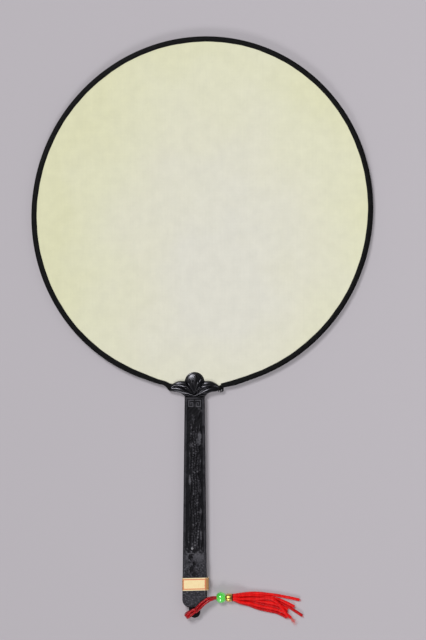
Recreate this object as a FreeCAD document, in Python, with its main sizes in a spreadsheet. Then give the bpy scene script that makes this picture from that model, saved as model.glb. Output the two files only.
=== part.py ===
import FreeCAD, Part
import math
import os
import types

import Sketcher

# A round hand fan, laid flat with its face up and its handle towards -Y.
# Z is 0 at the surface it lies on, and the origin is the middle of its length and of its face's width.
# The face is two leaves glued to a bent oval hoop and bound with folded tape.
# A handle in two moulded halves carries a crest in two halves, which clamps the rim.
# A red cord is hitched on the handle's lug and carries a bead, a cap and a tassel of loose strands.

sizes = {
    # Rim, measured over the tape. Its long axis leans to the right of the handle's line.
    "rim_long": 265.2,
    "rim_short": 255.4,
    "rim_lean": 19.8,
    "rim_width": 4.1,
    "hoop_width": 2.8,
    "hoop_thick": 2.4,
    "scarf_slit": 0.3,
    "scarf_slope": 10,
    "leaf_thick": 0.3,
    "tape_thick": 0.35,
    "tape_tuck": 3,
    "tape_short": 0.8,
    # Handle, from the crest's lower edge to the shoulder above the lug.
    "handle_shift": 5.7,
    "handle_length": 157.4,
    "handle_top_width": 15,
    "handle_end_width": 18.4,
    "handle_thick": 8,
    "handle_end_radius": 6,
    "handle_bevel": 0.8,
    "seam_bevel": 0.25,
    "rail_width": 1.9,
    "panel_depth": 1,
    "panel_head": 1.2,
    "panel_foot": 23,
    "fret_gap": 0.5,
    "fret_width": 10,
    "fret_height": 5.8,
    "fret_rise": 0.6,
    "tongue_width": 11,
    "tongue_thick": 3.8,
    "handle_peg_bore": 3,
    "handle_peg_length": 4,
    # Lug with its cord hole.
    "lug_length": 7.9,
    "lug_width": 8.5,
    "lug_thick": 3.6,
    "lug_hole": 4.2,
    "lug_hole_drop": 3,
    # Crest. Its rise and drop are measured from the rim's outer edge.
    "crest_span": 36.4,
    "crest_rise": 12.3,
    "crest_drop": 6.7,
    "crest_thick": 8,
    "plate_thick": 5.2,
    "bud_radius": 7.4,
    "bud_lip": 0.5,
    "upper_leaf_thick": 7.4,
    "lower_leaf_thick": 7,
    "vein_width": 0.4,
    "vein_depth": 0.35,
    "crest_peg_bore": 2,
    "crest_peg_length": 5,
    "crest_peg_pitch": 6.4,
    "crest_peg_drop": 3.6,
    # Gummed label round the handle's lower end.
    "label_foot": 12.3,
    "label_height": 9.6,
    "label_thick": 0.2,
    "label_wrap": 2,
    # Bead and cap on the cord, and the whipping inside the cap.
    "bead_x": 14,
    "bead_y": -203.2,
    "bead_z": 4.2,
    "bead_length": 6.7,
    "bead_width": 8.2,
    "bead_bore": 4.1,
    "cap_gap": 0.4,
    "cap_length": 5.2,
    "cap_neck": 3.6,
    "cap_seat": 2,
    "cap_nose": 4.9,
    "cap_width": 6.2,
    "cap_waist": 5.9,
    "cap_flare": 6.8,
    "cap_bore": 4.1,
    "whipping_width": 5.2,
    "whipping_length": 1.6,
    # Cord, strands and clearances.
    "cord_thick": 1.9,
    "strand_thick": 1.6,
    "fit_gap": 0.1,
    "rim_gap": 0.3,
    "overrun": 5,
}

doc = FreeCAD.newDocument("round_fan")
sheet = doc.addObject("Spreadsheet::Sheet", "Sizes")
for row, (alias, number) in enumerate(sizes.items(), start=1):
    sheet.set(f"A{row}", alias)
    sheet.set(f"B{row}", str(number))
    sheet.setAlias(f"B{row}", alias)
doc.recompute()

Vector = FreeCAD.Vector
Rotation = FreeCAD.Rotation
quarter_turn = 90
full_turn = 360


# A length as a sheet expression together with its value, so that sums of cells can be bound and drawn.
class Term:
    def __init__(self, text, value):
        self.text = text
        self.value = value

    def joined(self, sign, other, value):
        other_text = other.text if isinstance(other, Term) else repr(other)
        return Term(f"({self.text} {sign} {other_text})", value)

    def __add__(self, other):
        return self.joined("+", other, self.value + number_of(other))

    def __sub__(self, other):
        return self.joined("-", other, self.value - number_of(other))

    def __mul__(self, other):
        return self.joined("*", other, self.value * number_of(other))

    def __truediv__(self, other):
        return self.joined("/", other, self.value / number_of(other))

    def __neg__(self):
        return Term(f"(-1 * {self.text})", -self.value)


def number_of(term):
    return term.value if isinstance(term, Term) else term


def text_of(term):
    return term.text if isinstance(term, Term) else repr(term)


def sine(angle):
    return Term(f"sin({angle.text})", math.sin(math.radians(angle.value)))


def cosine(angle):
    return Term(f"cos({angle.text})", math.cos(math.radians(angle.value)))


def root(term):
    return Term(f"sqrt({term.text})", math.sqrt(term.value))


def larger(one, other):
    return Term(f"max({one.text}; {other.text})", max(one.value, other.value))


size = types.SimpleNamespace(**{name: Term(f"Sizes.{name}", getattr(sheet, name)) for name in sizes})

# Places that several pieces share. The handle's own frame has Y = 0 on the rim's outer edge.
half_long = size.rim_long / 2
half_short = size.rim_short / 2
rim_reach = root(
    half_long * cosine(size.rim_lean) * half_long * cosine(size.rim_lean)
    + half_short * sine(size.rim_lean) * half_short * sine(size.rim_lean)
)
rim_turn = -size.rim_lean + quarter_turn
handle_top = -size.crest_drop - size.fit_gap
shoulder = handle_top - size.handle_length
lug_end = shoulder - size.lug_length
leaf_face = size.hoop_thick / 2 + size.leaf_thick
rim_face = leaf_face + size.tape_thick
handle_half = size.handle_thick / 2
crest_half = size.crest_thick / 2
panel_floor = handle_half - size.panel_depth
middle_height = larger(handle_half, crest_half)
disc_y = -lug_end / 2
handle_y = disc_y - rim_reach
handle_x = -size.handle_shift


# Binding helpers.
def bind(thing, path, term):
    thing.setExpression(path, text_of(term))


def place(thing, x=0, y=0, z=0, turn=None):
    for axis, term in zip("xyz", (x, y, z)):
        bind(thing, f"Placement.Base.{axis}", term)
    if turn is not None:
        bind(thing, "Placement.Rotation.Angle", turn * Term("1 deg", 1))


def place_on_disc(thing):
    place(thing, 0, disc_y, middle_height, rim_turn)


def place_on_handle(thing):
    place(thing, handle_x, handle_y, middle_height)


# Sketch helpers.
def new_body(label):
    body = doc.addObject("PartDesign::Body", label)
    body.Label = label
    return body


def new_sketch(body, name, plane="XY_Plane", lift=None):
    sketch = body.newObject("Sketcher::SketchObject", name)
    origin_plane = next(item for item in body.Origin.OriginFeatures if item.Role == plane)
    sketch.AttachmentSupport = [(origin_plane, "")]
    sketch.MapMode = "FlatFace"
    if lift is not None:
        bind(sketch, "AttachmentOffset.Base.z", lift)
    return sketch


def free_sketch(name):
    return doc.addObject("Sketcher::SketchObject", name)


def datum(sketch, term, *constraint):
    index = sketch.addConstraint(Sketcher.Constraint(*constraint, number_of(term)))
    bind(sketch, f"Constraints[{index}]", term)


def pin(sketch, edge, end, x, y):
    for kind, axis, term in (("DistanceX", -2, x), ("DistanceY", -1, y)):
        if isinstance(term, Term):
            datum(sketch, term, kind, -1, 1, edge, end)
        else:
            sketch.addConstraint(Sketcher.Constraint("PointOnObject", edge, end, axis))


def flat(point):
    return Vector(number_of(point[0]), number_of(point[1]), 0)


# A closed outline. Each corner is x, y and, where an arc leads to it, a point that the arc passes through.
def outline(sketch, corners):
    joints = []
    for index, corner in enumerate(corners):
        start = flat(corners[index - 1])
        end = flat(corner)
        if len(corner) == 2:
            edge = sketch.addGeometry(Part.LineSegment(start, end))
            joints.append((edge, 1, 2))
            continue
        edge = sketch.addGeometry(Part.Arc(start, flat(corner[2]), end))
        forward = sketch.getPoint(edge, 1).distanceToPoint(start) < sketch.getPoint(edge, 2).distanceToPoint(start)
        joints.append((edge, 1, 2) if forward else (edge, 2, 1))
        mark = sketch.addGeometry(Part.Point(flat(corner[2])), True)
        sketch.addConstraint(Sketcher.Constraint("PointOnObject", mark, 1, edge))
        pin(sketch, mark, 1, *corner[2])
    for index, corner in enumerate(corners):
        edge, _, end = joints[index]
        following, begin, _ = joints[(index + 1) % len(corners)]
        sketch.addConstraint(Sketcher.Constraint("Coincident", edge, end, following, begin))
        pin(sketch, edge, end, corner[0], corner[1])


def rectangle(sketch, left, right, low, high):
    outline(sketch, [(left, low), (right, low), (right, high), (left, high)])


def oval(sketch, width, height):
    tips = [(width, Vector(width.value / 2, 0, 0), "Horizontal"), (height, Vector(0, height.value / 2, 0), "Vertical")]
    if height.value > width.value:
        tips.reverse()
    (major, major_tip, direction), (minor, minor_tip, _) = tips
    edge = sketch.addGeometry(Part.Ellipse(major_tip, minor_tip, Vector(0, 0, 0)))
    sketch.exposeInternalGeometry(edge)
    sketch.addConstraint(Sketcher.Constraint("Coincident", edge, 3, -1, 1))
    sketch.addConstraint(Sketcher.Constraint(direction, edge + 1))
    datum(sketch, major, "Distance", edge + 1)
    datum(sketch, minor, "Distance", edge + 2)


# An oval that lies inside the rim's outer edge by the inset.
def rim_oval(sketch, inset):
    oval(sketch, size.rim_long - inset * 2, size.rim_short - inset * 2)


def circle(sketch, x, y, width):
    middle = flat((x, y))
    edge = sketch.addGeometry(Part.Circle(middle, Vector(0, 0, 1), number_of(width) / 2))
    pin(sketch, edge, 3, x, y)
    datum(sketch, width, "Diameter", edge)


# Body features.
def pad(body, sketch, length, side="One side", reverse=False):
    feature = body.newObject("PartDesign::Pad", f"{sketch.Name}_pad")
    feature.Profile = sketch
    feature.SideType = side
    feature.Reversed = reverse
    bind(feature, "Length", length)
    return feature


# A pocket that cuts upwards from its sketch, checked by the volume that it takes away.
def pocket(body, sketch, depth, upwards=True):
    doc.recompute()
    before = body.Shape.Volume
    feature = body.newObject("PartDesign::Pocket", f"{sketch.Name}_pocket")
    feature.Profile = sketch
    feature.Reversed = upwards
    bind(feature, "Length", depth)
    doc.recompute()
    if body.Shape.Volume >= before:
        raise ValueError(f"{sketch.Name} cuts nothing")
    return feature


def chamfer(body, name, width, chosen):
    doc.recompute()
    base = body.Tip
    edges = [f"Edge{count}" for count, edge in enumerate(base.Shape.Edges, start=1) if chosen(edge)]
    feature = body.newObject("PartDesign::Chamfer", name)
    feature.Base = (base, edges)
    bind(feature, "Size", width)


def revolve(body, sketch):
    feature = body.newObject("PartDesign::Revolution", f"{sketch.Name}_turned")
    feature.Profile = sketch
    feature.ReferenceAxis = (sketch, ["H_Axis"])


# Part features.
def extrude(sketch, length):
    feature = doc.addObject("Part::Extrusion", f"{sketch.Name}_block")
    feature.Base = sketch
    feature.DirMode = "Custom"
    feature.Dir = Vector(0, 0, 1)
    feature.Solid = True
    bind(feature, "LengthFwd", length)
    return feature


def box(name, length, width, height):
    feature = doc.addObject("Part::Box", name)
    for path, term in zip(("Length", "Width", "Height"), (length, width, height)):
        bind(feature, path, term)
    return feature


def cylinder(name, width, height):
    feature = doc.addObject("Part::Cylinder", name)
    bind(feature, "Radius", width / 2)
    bind(feature, "Height", height)
    return feature


def ellipsoid(name, across, along, up):
    feature = doc.addObject("Part::Ellipsoid", name)
    bind(feature, "Radius1", up)
    bind(feature, "Radius2", across)
    bind(feature, "Radius3", along)
    feature.Angle1 = -quarter_turn
    feature.Angle2 = quarter_turn
    feature.Angle3 = full_turn
    return feature


def pair(kind, name, base, tool):
    feature = doc.addObject(kind, name)
    feature.Base = base
    feature.Tool = tool
    return feature


def fuse(name, shapes):
    feature = shapes[0]
    for count, shape in enumerate(shapes[1:], start=1):
        feature = pair("Part::Fuse", f"{name}_{count}", feature, shape)
    return feature


def mirror(name, source, normal):
    feature = doc.addObject("Part::Mirroring", name)
    feature.Source = source
    feature.Normal = normal
    return feature


# The rear half of a piece, mirrored through the fan's middle plane.
def rear_half(label, source):
    feature = mirror(label, source, Vector(0, 0, 1))
    bind(feature, "Base.z", middle_height)
    feature.Label = label
    return feature


nodes = []

# Hoop: a bent strip whose two ends meet in a long scarf inside the crest.
hoop_ring = new_body("hoop_ring")
hoop_sketch = new_sketch(hoop_ring, "hoop_sketch")
rim_oval(hoop_sketch, size.tape_thick)
rim_oval(hoop_sketch, size.tape_thick + size.hoop_width)
pad(hoop_ring, hoop_sketch, size.hoop_thick, side="Symmetric")
place_on_disc(hoop_ring)
scarf = box("scarf", size.crest_span, size.scarf_slit, size.hoop_thick + size.overrun)
scarf_left = cosine(size.scarf_slope) * size.crest_span / 2
scarf_low = sine(size.scarf_slope) * size.crest_span / 2
place(
    scarf,
    handle_x - scarf_left,
    handle_y + size.tape_thick + size.hoop_width / 2 - scarf_low,
    middle_height - (size.hoop_thick + size.overrun) / 2,
    size.scarf_slope,
)
hoop = pair("Part::Cut", "hoop", hoop_ring, scarf)
nodes.append(hoop)


# Leaves: two thin ovals, glued to the front and the back of the hoop.
def leaf(label, front):
    body = new_body(label)
    sketch = new_sketch(body, f"{label}_sketch", lift=size.hoop_thick / 2 if front else -size.hoop_thick / 2)
    rim_oval(sketch, size.tape_thick)
    pad(body, sketch, size.leaf_thick, reverse=not front)
    place_on_disc(body)
    nodes.append(body)


leaf("front_leaf", True)
leaf("back_leaf", False)

# Edge binding: tape folded over the rim, open inwards, with a gap at the crest.
tape_ring = new_body("tape_ring")
tape_wall = new_sketch(tape_ring, "tape_wall")
rim_oval(tape_wall, 0)
rim_oval(tape_wall, size.tape_thick)
pad(tape_ring, tape_wall, rim_face * 2, side="Symmetric")
for tape_side, tape_lift in (("front", leaf_face), ("back", -rim_face)):
    tape_flap = new_sketch(tape_ring, f"tape_{tape_side}", lift=tape_lift)
    rim_oval(tape_flap, 0)
    rim_oval(tape_flap, size.rim_width)
    pad(tape_ring, tape_flap, size.tape_thick)
place_on_disc(tape_ring)
tape_gap = box(
    "tape_gap",
    size.crest_span - size.tape_tuck + size.tape_short,
    size.crest_rise + size.overrun,
    size.crest_thick + size.overrun,
)
place(
    tape_gap,
    handle_x - size.crest_span / 2 + size.tape_tuck,
    handle_y - size.overrun,
    middle_height - (size.crest_thick + size.overrun) / 2,
)
edge_binding = pair("Part::Cut", "edge_binding", tape_ring, tape_gap)
nodes.append(edge_binding)

# Handle: a flat tapering bar in two halves, each with rails round a sunken panel.
corner_share = 1 - math.sqrt(0.5)
peg_shares = (0.12, 0.5, 0.88)
top_half = size.handle_top_width / 2
end_half = size.handle_end_width / 2
corner_y = shoulder + size.handle_end_radius
corner_x = end_half - size.handle_end_radius
corner_mid_x = end_half - size.handle_end_radius * corner_share
corner_mid_y = shoulder + size.handle_end_radius * corner_share
side_slope = (end_half - top_half) / (handle_top - corner_y)


def handle_half_width(y):
    return top_half + side_slope * (handle_top - y)


handle_front = new_body("handle_front")
bar_sketch = new_sketch(handle_front, "bar_sketch")
outline(
    bar_sketch,
    [
        (-top_half, handle_top),
        (-end_half, corner_y),
        (-corner_x, shoulder, (-corner_mid_x, corner_mid_y)),
        (corner_x, shoulder),
        (end_half, corner_y, (corner_mid_x, corner_mid_y)),
        (top_half, handle_top),
    ],
)
pad(handle_front, bar_sketch, handle_half)


# Outer edges at one height, leaving the straight end that meets the crest.
def rim_edges(height):
    def chosen(edge):
        level = all(abs(vertex.Z - height.value) < size.seam_bevel.value / 2 for vertex in edge.Vertexes)
        return level and edge.CenterOfMass.y < handle_top.value - size.fit_gap.value

    return chosen


chamfer(handle_front, "front_bevel", size.handle_bevel, rim_edges(handle_half))
chamfer(handle_front, "seam_notch", size.seam_bevel, rim_edges(handle_half * 0))

lug_half = size.lug_width / 2
lug_sketch = new_sketch(handle_front, "lug_sketch")
outline(
    lug_sketch,
    [
        (-lug_half, shoulder + lug_half),
        (-lug_half, lug_end + lug_half),
        (lug_half, lug_end + lug_half, (0, lug_end)),
        (lug_half, shoulder + lug_half),
    ],
)
pad(handle_front, lug_sketch, size.lug_thick / 2)
tongue_sketch = new_sketch(handle_front, "tongue_sketch")
rectangle(
    tongue_sketch,
    -size.tongue_width / 2,
    size.tongue_width / 2,
    handle_top - size.tongue_thick,
    -size.rim_gap,
)
pad(handle_front, tongue_sketch, size.tongue_thick / 2)

panel_top = handle_top - size.panel_head
panel_end = shoulder + size.panel_foot
panel_sketch = new_sketch(handle_front, "panel_sketch", lift=panel_floor)
panel_top_half = handle_half_width(panel_top) - size.rail_width
panel_end_half = handle_half_width(panel_end) - size.rail_width
outline(
    panel_sketch,
    [
        (-panel_top_half, panel_top),
        (-panel_end_half, panel_end),
        (panel_end_half, panel_end),
        (panel_top_half, panel_top),
    ],
)
pocket(handle_front, panel_sketch, size.panel_depth + size.overrun)
fret_sketch = new_sketch(handle_front, "fret_sketch", lift=panel_floor)
fret_top = panel_top - size.fret_gap
rectangle(fret_sketch, -size.fret_width / 2, size.fret_width / 2, fret_top - size.fret_height, fret_top)
pad(handle_front, fret_sketch, size.fret_rise)

hole_sketch = new_sketch(handle_front, "hole_sketch")
circle(hole_sketch, 0, shoulder - size.lug_hole_drop, size.lug_hole)
pocket(handle_front, hole_sketch, size.lug_thick)
peg_sketch = new_sketch(handle_front, "peg_sketch")
for peg_share in peg_shares:
    circle(peg_sketch, 0, handle_top - size.handle_length * peg_share, size.handle_peg_bore + size.fit_gap)
pocket(handle_front, peg_sketch, size.handle_peg_length / 2 + size.fit_gap / 2)
tongue_holes = new_sketch(handle_front, "tongue_holes")
for peg_x in (-size.crest_peg_pitch / 2, size.crest_peg_pitch / 2):
    circle(tongue_holes, peg_x, -size.crest_peg_drop, size.crest_peg_bore + size.fit_gap)
pocket(handle_front, tongue_holes, size.tongue_thick)
place_on_handle(handle_front)
nodes.append(handle_front)
nodes.append(rear_half("handle_back", handle_front))

for count, peg_share in enumerate(peg_shares, start=1):
    handle_peg = cylinder(f"handle_peg_{count}", size.handle_peg_bore, size.handle_peg_length)
    place(
        handle_peg,
        handle_x,
        handle_y + handle_top - size.handle_length * peg_share,
        middle_height - size.handle_peg_length / 2,
    )
    nodes.append(handle_peg)

# Crest: a plate with a domed bud between two pairs of domed leaves, cut to clamp the rim and the tongue.
# Outline shares are of half the span across and of the rise along the handle.
waist_share = (0.66, -0.235)
foot_bend_share = (0.53, -0.36)
tip_low_share = (0.923, -0.195)
tip_bend_share = (0.975, -0.13)
tip_high_share = (1.0, 0.185)
tip_side_share = (1.0, 0.03)
brow_share = (0.735, 0.385)
upper_leaf_shares = [
    (0.30, 0.13),
    (0.37, 0.37),
    (0.975, 0.18, (0.73, 0.355)),
    (0.975, 0.11),
]
upper_leaf_close_share = (0.66, 0.155)
lower_leaf_shares = [
    (0.05, -0.34),
    (0.25, 0.06),
    (0.975, 0.06, (0.60, 0.105)),
    (0.95, -0.145),
    (0.63, -0.215, (0.79, -0.175)),
    (0.37, -0.455, (0.50, -0.32)),
]
upper_dome_shares = {"x": 0.62, "y": 0.21, "across": 0.78, "along": 0.36}
lower_dome_shares = {"x": 0.45, "y": -0.10, "across": 0.64, "along": 0.42}
bud_dome_shares = {"y": 0.30, "across": 1.4, "along": 1.02}
bud_foot_share = -0.35
upper_dome_tilt = -10
lower_dome_tilt = 12
vein_angles = (-28, -14, 0, 14, 28)
half_span = size.crest_span / 2
bud_y = size.crest_rise - size.bud_radius


def on_crest(share, side=1):
    return half_span * (share[0] * side), size.crest_rise * share[1]


def leaf_corner(corner):
    if len(corner) == 2:
        return on_crest(corner)
    return on_crest(corner[:2]) + (on_crest(corner[2]),)


plate_sketch = free_sketch("plate_sketch")
outline(
    plate_sketch,
    [
        (top_half, -size.crest_drop),
        on_crest(waist_share) + (on_crest(foot_bend_share),),
        on_crest(tip_low_share),
        on_crest(tip_side_share) + (on_crest(tip_bend_share),),
        on_crest(tip_high_share),
        (size.bud_radius, bud_y, on_crest(brow_share)),
        (-size.bud_radius, bud_y, (0, size.crest_rise)),
        on_crest(tip_high_share, -1) + (on_crest(brow_share, -1),),
        on_crest(tip_side_share, -1),
        on_crest(tip_low_share, -1) + (on_crest(tip_bend_share, -1),),
        on_crest(waist_share, -1),
        (-top_half, -size.crest_drop, on_crest(foot_bend_share, -1)),
    ],
)
plate = extrude(plate_sketch, size.plate_thick / 2)

bud_sketch = free_sketch("bud_sketch")
outline(
    bud_sketch,
    [
        (0, size.crest_rise * bud_foot_share),
        (size.bud_radius - size.bud_lip, bud_y),
        (size.bud_lip - size.bud_radius, bud_y, (0, size.crest_rise - size.bud_lip)),
    ],
)
bud_block = extrude(bud_sketch, crest_half)
bud_across = size.bud_radius * bud_dome_shares["across"]
bud_along = size.crest_rise * bud_dome_shares["along"]
bud_dome_y = size.crest_rise * bud_dome_shares["y"]
bud_dome = ellipsoid("bud_dome", bud_across, bud_along, crest_half)
place(bud_dome, 0, bud_dome_y)
bud = pair("Part::Common", "bud", bud_block, bud_dome)

# Veins fan out over the bud from its foot.
vein_core = ellipsoid(
    "vein_core", bud_across - size.vein_depth, bud_along - size.vein_depth, crest_half - size.vein_depth
)
place(vein_core, 0, bud_dome_y)
vein_bars = []
for count, angle in enumerate(vein_angles, start=1):
    bar = box(f"vein_bar_{count}", size.vein_width, size.crest_rise + size.crest_drop, crest_half)
    swing = FreeCAD.Placement(Vector(0, 0, 0), Rotation(Vector(0, 0, 1), angle))
    turned = swing.multVec(Vector(1, 0, 0))
    place(
        bar,
        size.vein_width * (-turned.x / 2),
        size.crest_rise * bud_foot_share - size.vein_width * (turned.y / 2),
        0,
        Term(repr(angle), angle),
    )
    vein_bars.append(bar)
veins = pair("Part::Cut", "veins", fuse("vein_fan", vein_bars), vein_core)
carved_bud = pair("Part::Cut", "carved_bud", bud, veins)


# One carved leaf: its outline block, limited by a tilted dome, and the same mirrored to the left.
def crest_leaf(name, corners, dome_shares, thick, tilt):
    sketch = free_sketch(f"{name}_sketch")
    outline(sketch, corners)
    dome = ellipsoid(
        f"{name}_dome", half_span * dome_shares["across"], size.crest_rise * dome_shares["along"], thick / 2
    )
    place(
        dome,
        half_span * dome_shares["x"],
        size.crest_rise * dome_shares["y"],
        0,
        Term(repr(tilt), tilt),
    )
    right = pair("Part::Common", f"{name}_right", extrude(sketch, thick / 2), dome)
    return [right, mirror(f"{name}_left", right, Vector(1, 0, 0))]


upper_corners = [leaf_corner(corner) for corner in upper_leaf_shares]
upper_corners[0] = upper_corners[0] + (on_crest(upper_leaf_close_share),)
lower_corners = [leaf_corner(corner) for corner in lower_leaf_shares]
upper_leaves = crest_leaf("upper_leaf", upper_corners, upper_dome_shares, size.upper_leaf_thick, upper_dome_tilt)
lower_leaves = crest_leaf("lower_leaf", lower_corners, lower_dome_shares, size.lower_leaf_thick, lower_dome_tilt)
crest_block = fuse("crest_block", [plate, carved_bud] + upper_leaves + lower_leaves)

rim_room_sketch = free_sketch("rim_room_sketch")
rim_oval(rim_room_sketch, -size.rim_gap)
place(rim_room_sketch, size.handle_shift, rim_reach, 0, rim_turn)
rim_room = extrude(rim_room_sketch, rim_face + size.fit_gap / 2)
tongue_room = box(
    "tongue_room",
    size.tongue_width + size.fit_gap * 2,
    size.crest_drop + size.overrun,
    size.tongue_thick / 2 + size.fit_gap,
)
place(tongue_room, -size.tongue_width / 2 - size.fit_gap, -size.crest_drop - size.overrun)
rooms = [rim_room, tongue_room]
for side, peg_x in (("left", -size.crest_peg_pitch / 2), ("right", size.crest_peg_pitch / 2)):
    peg_room = cylinder(
        f"peg_room_{side}", size.crest_peg_bore + size.fit_gap, size.crest_peg_length / 2 + size.fit_gap
    )
    place(peg_room, peg_x, -size.crest_peg_drop)
    rooms.append(peg_room)
crest_front = pair("Part::Cut", "crest_front", crest_block, fuse("crest_rooms", rooms))
place_on_handle(crest_front)
nodes.append(crest_front)
nodes.append(rear_half("crest_back", crest_front))

for side, peg_x in (("left", -size.crest_peg_pitch / 2), ("right", size.crest_peg_pitch / 2)):
    crest_peg = cylinder(f"crest_peg_{side}", size.crest_peg_bore, size.crest_peg_length)
    place(
        crest_peg,
        handle_x + peg_x,
        handle_y - size.crest_peg_drop,
        middle_height - size.crest_peg_length / 2,
    )
    nodes.append(crest_peg)

# Label: a strip gummed over the front and folded round both flanks.
paper_label = new_body("paper_label")
label_sketch = new_sketch(paper_label, "label_sketch", plane="XZ_Plane")
label_low = shoulder + size.label_foot
label_in = handle_half_width(label_low) + size.fit_gap / 2
label_top = handle_half + size.fit_gap / 2
label_out = label_in + size.label_thick
label_over = label_top + size.label_thick
flat_in = label_in - size.handle_bevel
flank_in = label_top - size.handle_bevel
outline(
    label_sketch,
    [
        (-label_in, -size.label_wrap),
        (-label_in, flank_in),
        (-flat_in, label_top),
        (flat_in, label_top),
        (label_in, flank_in),
        (label_in, -size.label_wrap),
        (label_out, -size.label_wrap),
        (label_out, flank_in),
        (flat_in, label_over),
        (-flat_in, label_over),
        (-label_out, flank_in),
        (-label_out, -size.label_wrap),
    ],
)
pad(paper_label, label_sketch, size.label_height)
place(paper_label, handle_x, handle_y + label_low + size.label_height, middle_height)
nodes.append(paper_label)

# Green bead: a ball with flat ends, turned about the cord's line.
green_bead = new_body("green_bead")
bead_sketch = new_sketch(green_bead, "bead_sketch")
bead_end = size.bead_length / 2
bead_round = size.bead_width / 2
bead_face = root(bead_round * bead_round - bead_end * bead_end)
outline(
    bead_sketch,
    [
        (-bead_end, size.bead_bore / 2),
        (-bead_end, bead_face),
        (bead_end, bead_face, (0, bead_round)),
        (bead_end, size.bead_bore / 2),
    ],
)
revolve(green_bead, bead_sketch)
place(green_bead, size.bead_x, size.bead_y, size.bead_z)
nodes.append(green_bead)

# Gilt cap: a round nose, a waist and a flared mouth, hollow behind a shoulder for the whipping.
gold_cap = new_body("gold_cap")
cap_sketch = new_sketch(gold_cap, "cap_sketch")
cap_cavity = size.whipping_width / 2 + size.fit_gap
nose_share = 0.5
outline(
    cap_sketch,
    [
        (0, size.cap_bore / 2),
        (0, size.cap_nose / 2),
        (size.cap_neck, size.cap_waist / 2 + size.fit_gap, (size.cap_neck * nose_share, size.cap_width / 2)),
        (size.cap_length, size.cap_flare / 2),
        (size.cap_length, cap_cavity),
        (size.cap_seat, cap_cavity),
        (size.cap_seat, size.cap_bore / 2),
    ],
)
revolve(gold_cap, cap_sketch)
cap_x = size.bead_x + bead_end + size.cap_gap
place(gold_cap, cap_x, size.bead_y, size.bead_z)
nodes.append(gold_cap)

tassel_binding = new_body("tassel_binding")
whipping_sketch = new_sketch(tassel_binding, "whipping_sketch", plane="YZ_Plane")
circle(whipping_sketch, 0, 0, size.whipping_width)
pad(tassel_binding, whipping_sketch, size.whipping_length)
place(tassel_binding, cap_x + size.cap_seat, size.bead_y, size.bead_z)
nodes.append(tassel_binding)

# Cord routes. The lead's two halves run side by side off the lug and one over the other into the bead.
cord_routes = {
    "cord_hitch": [
        (-6.34, -212.43, 3.60),
        (-6.34, -212.43, 1.00),
        (-12.39, -215.81, 1.00),
        (-12.39, -215.81, 9.75),
        (-6.28, -210.49, 9.95),
        (-4.61, -212.48, 9.95),
        (-10.91, -217.57, 9.75),
        (-10.91, -217.57, 1.00),
        (-5.06, -213.97, 1.00),
        (-5.06, -213.97, 3.60),
    ],
    "cord_lead_upper": [
        (-6.34, -212.43, 3.60),
        (-6.34, -212.43, 6.90),
        (-5.02, -211.06, 7.85),
        (-3.66, -209.40, 9.50),
        (-0.54, -206.13, 9.40),
        (3.60, -202.45, 9.50),
        (6.30, -202.40, 5.80),
        (8.60, -203.20, 3.20),
        (19.75, -203.20, 3.20),
    ],
    "cord_lead_lower": [
        (-5.06, -213.97, 3.60),
        (-5.06, -213.97, 6.90),
        (-3.47, -212.44, 7.85),
        (-2.31, -211.01, 9.25),
        (0.78, -207.70, 9.20),
        (5.40, -204.35, 9.20),
        (7.70, -203.90, 8.00),
        (9.60, -203.20, 5.20),
        (19.75, -203.20, 5.20),
    ],
}
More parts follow.
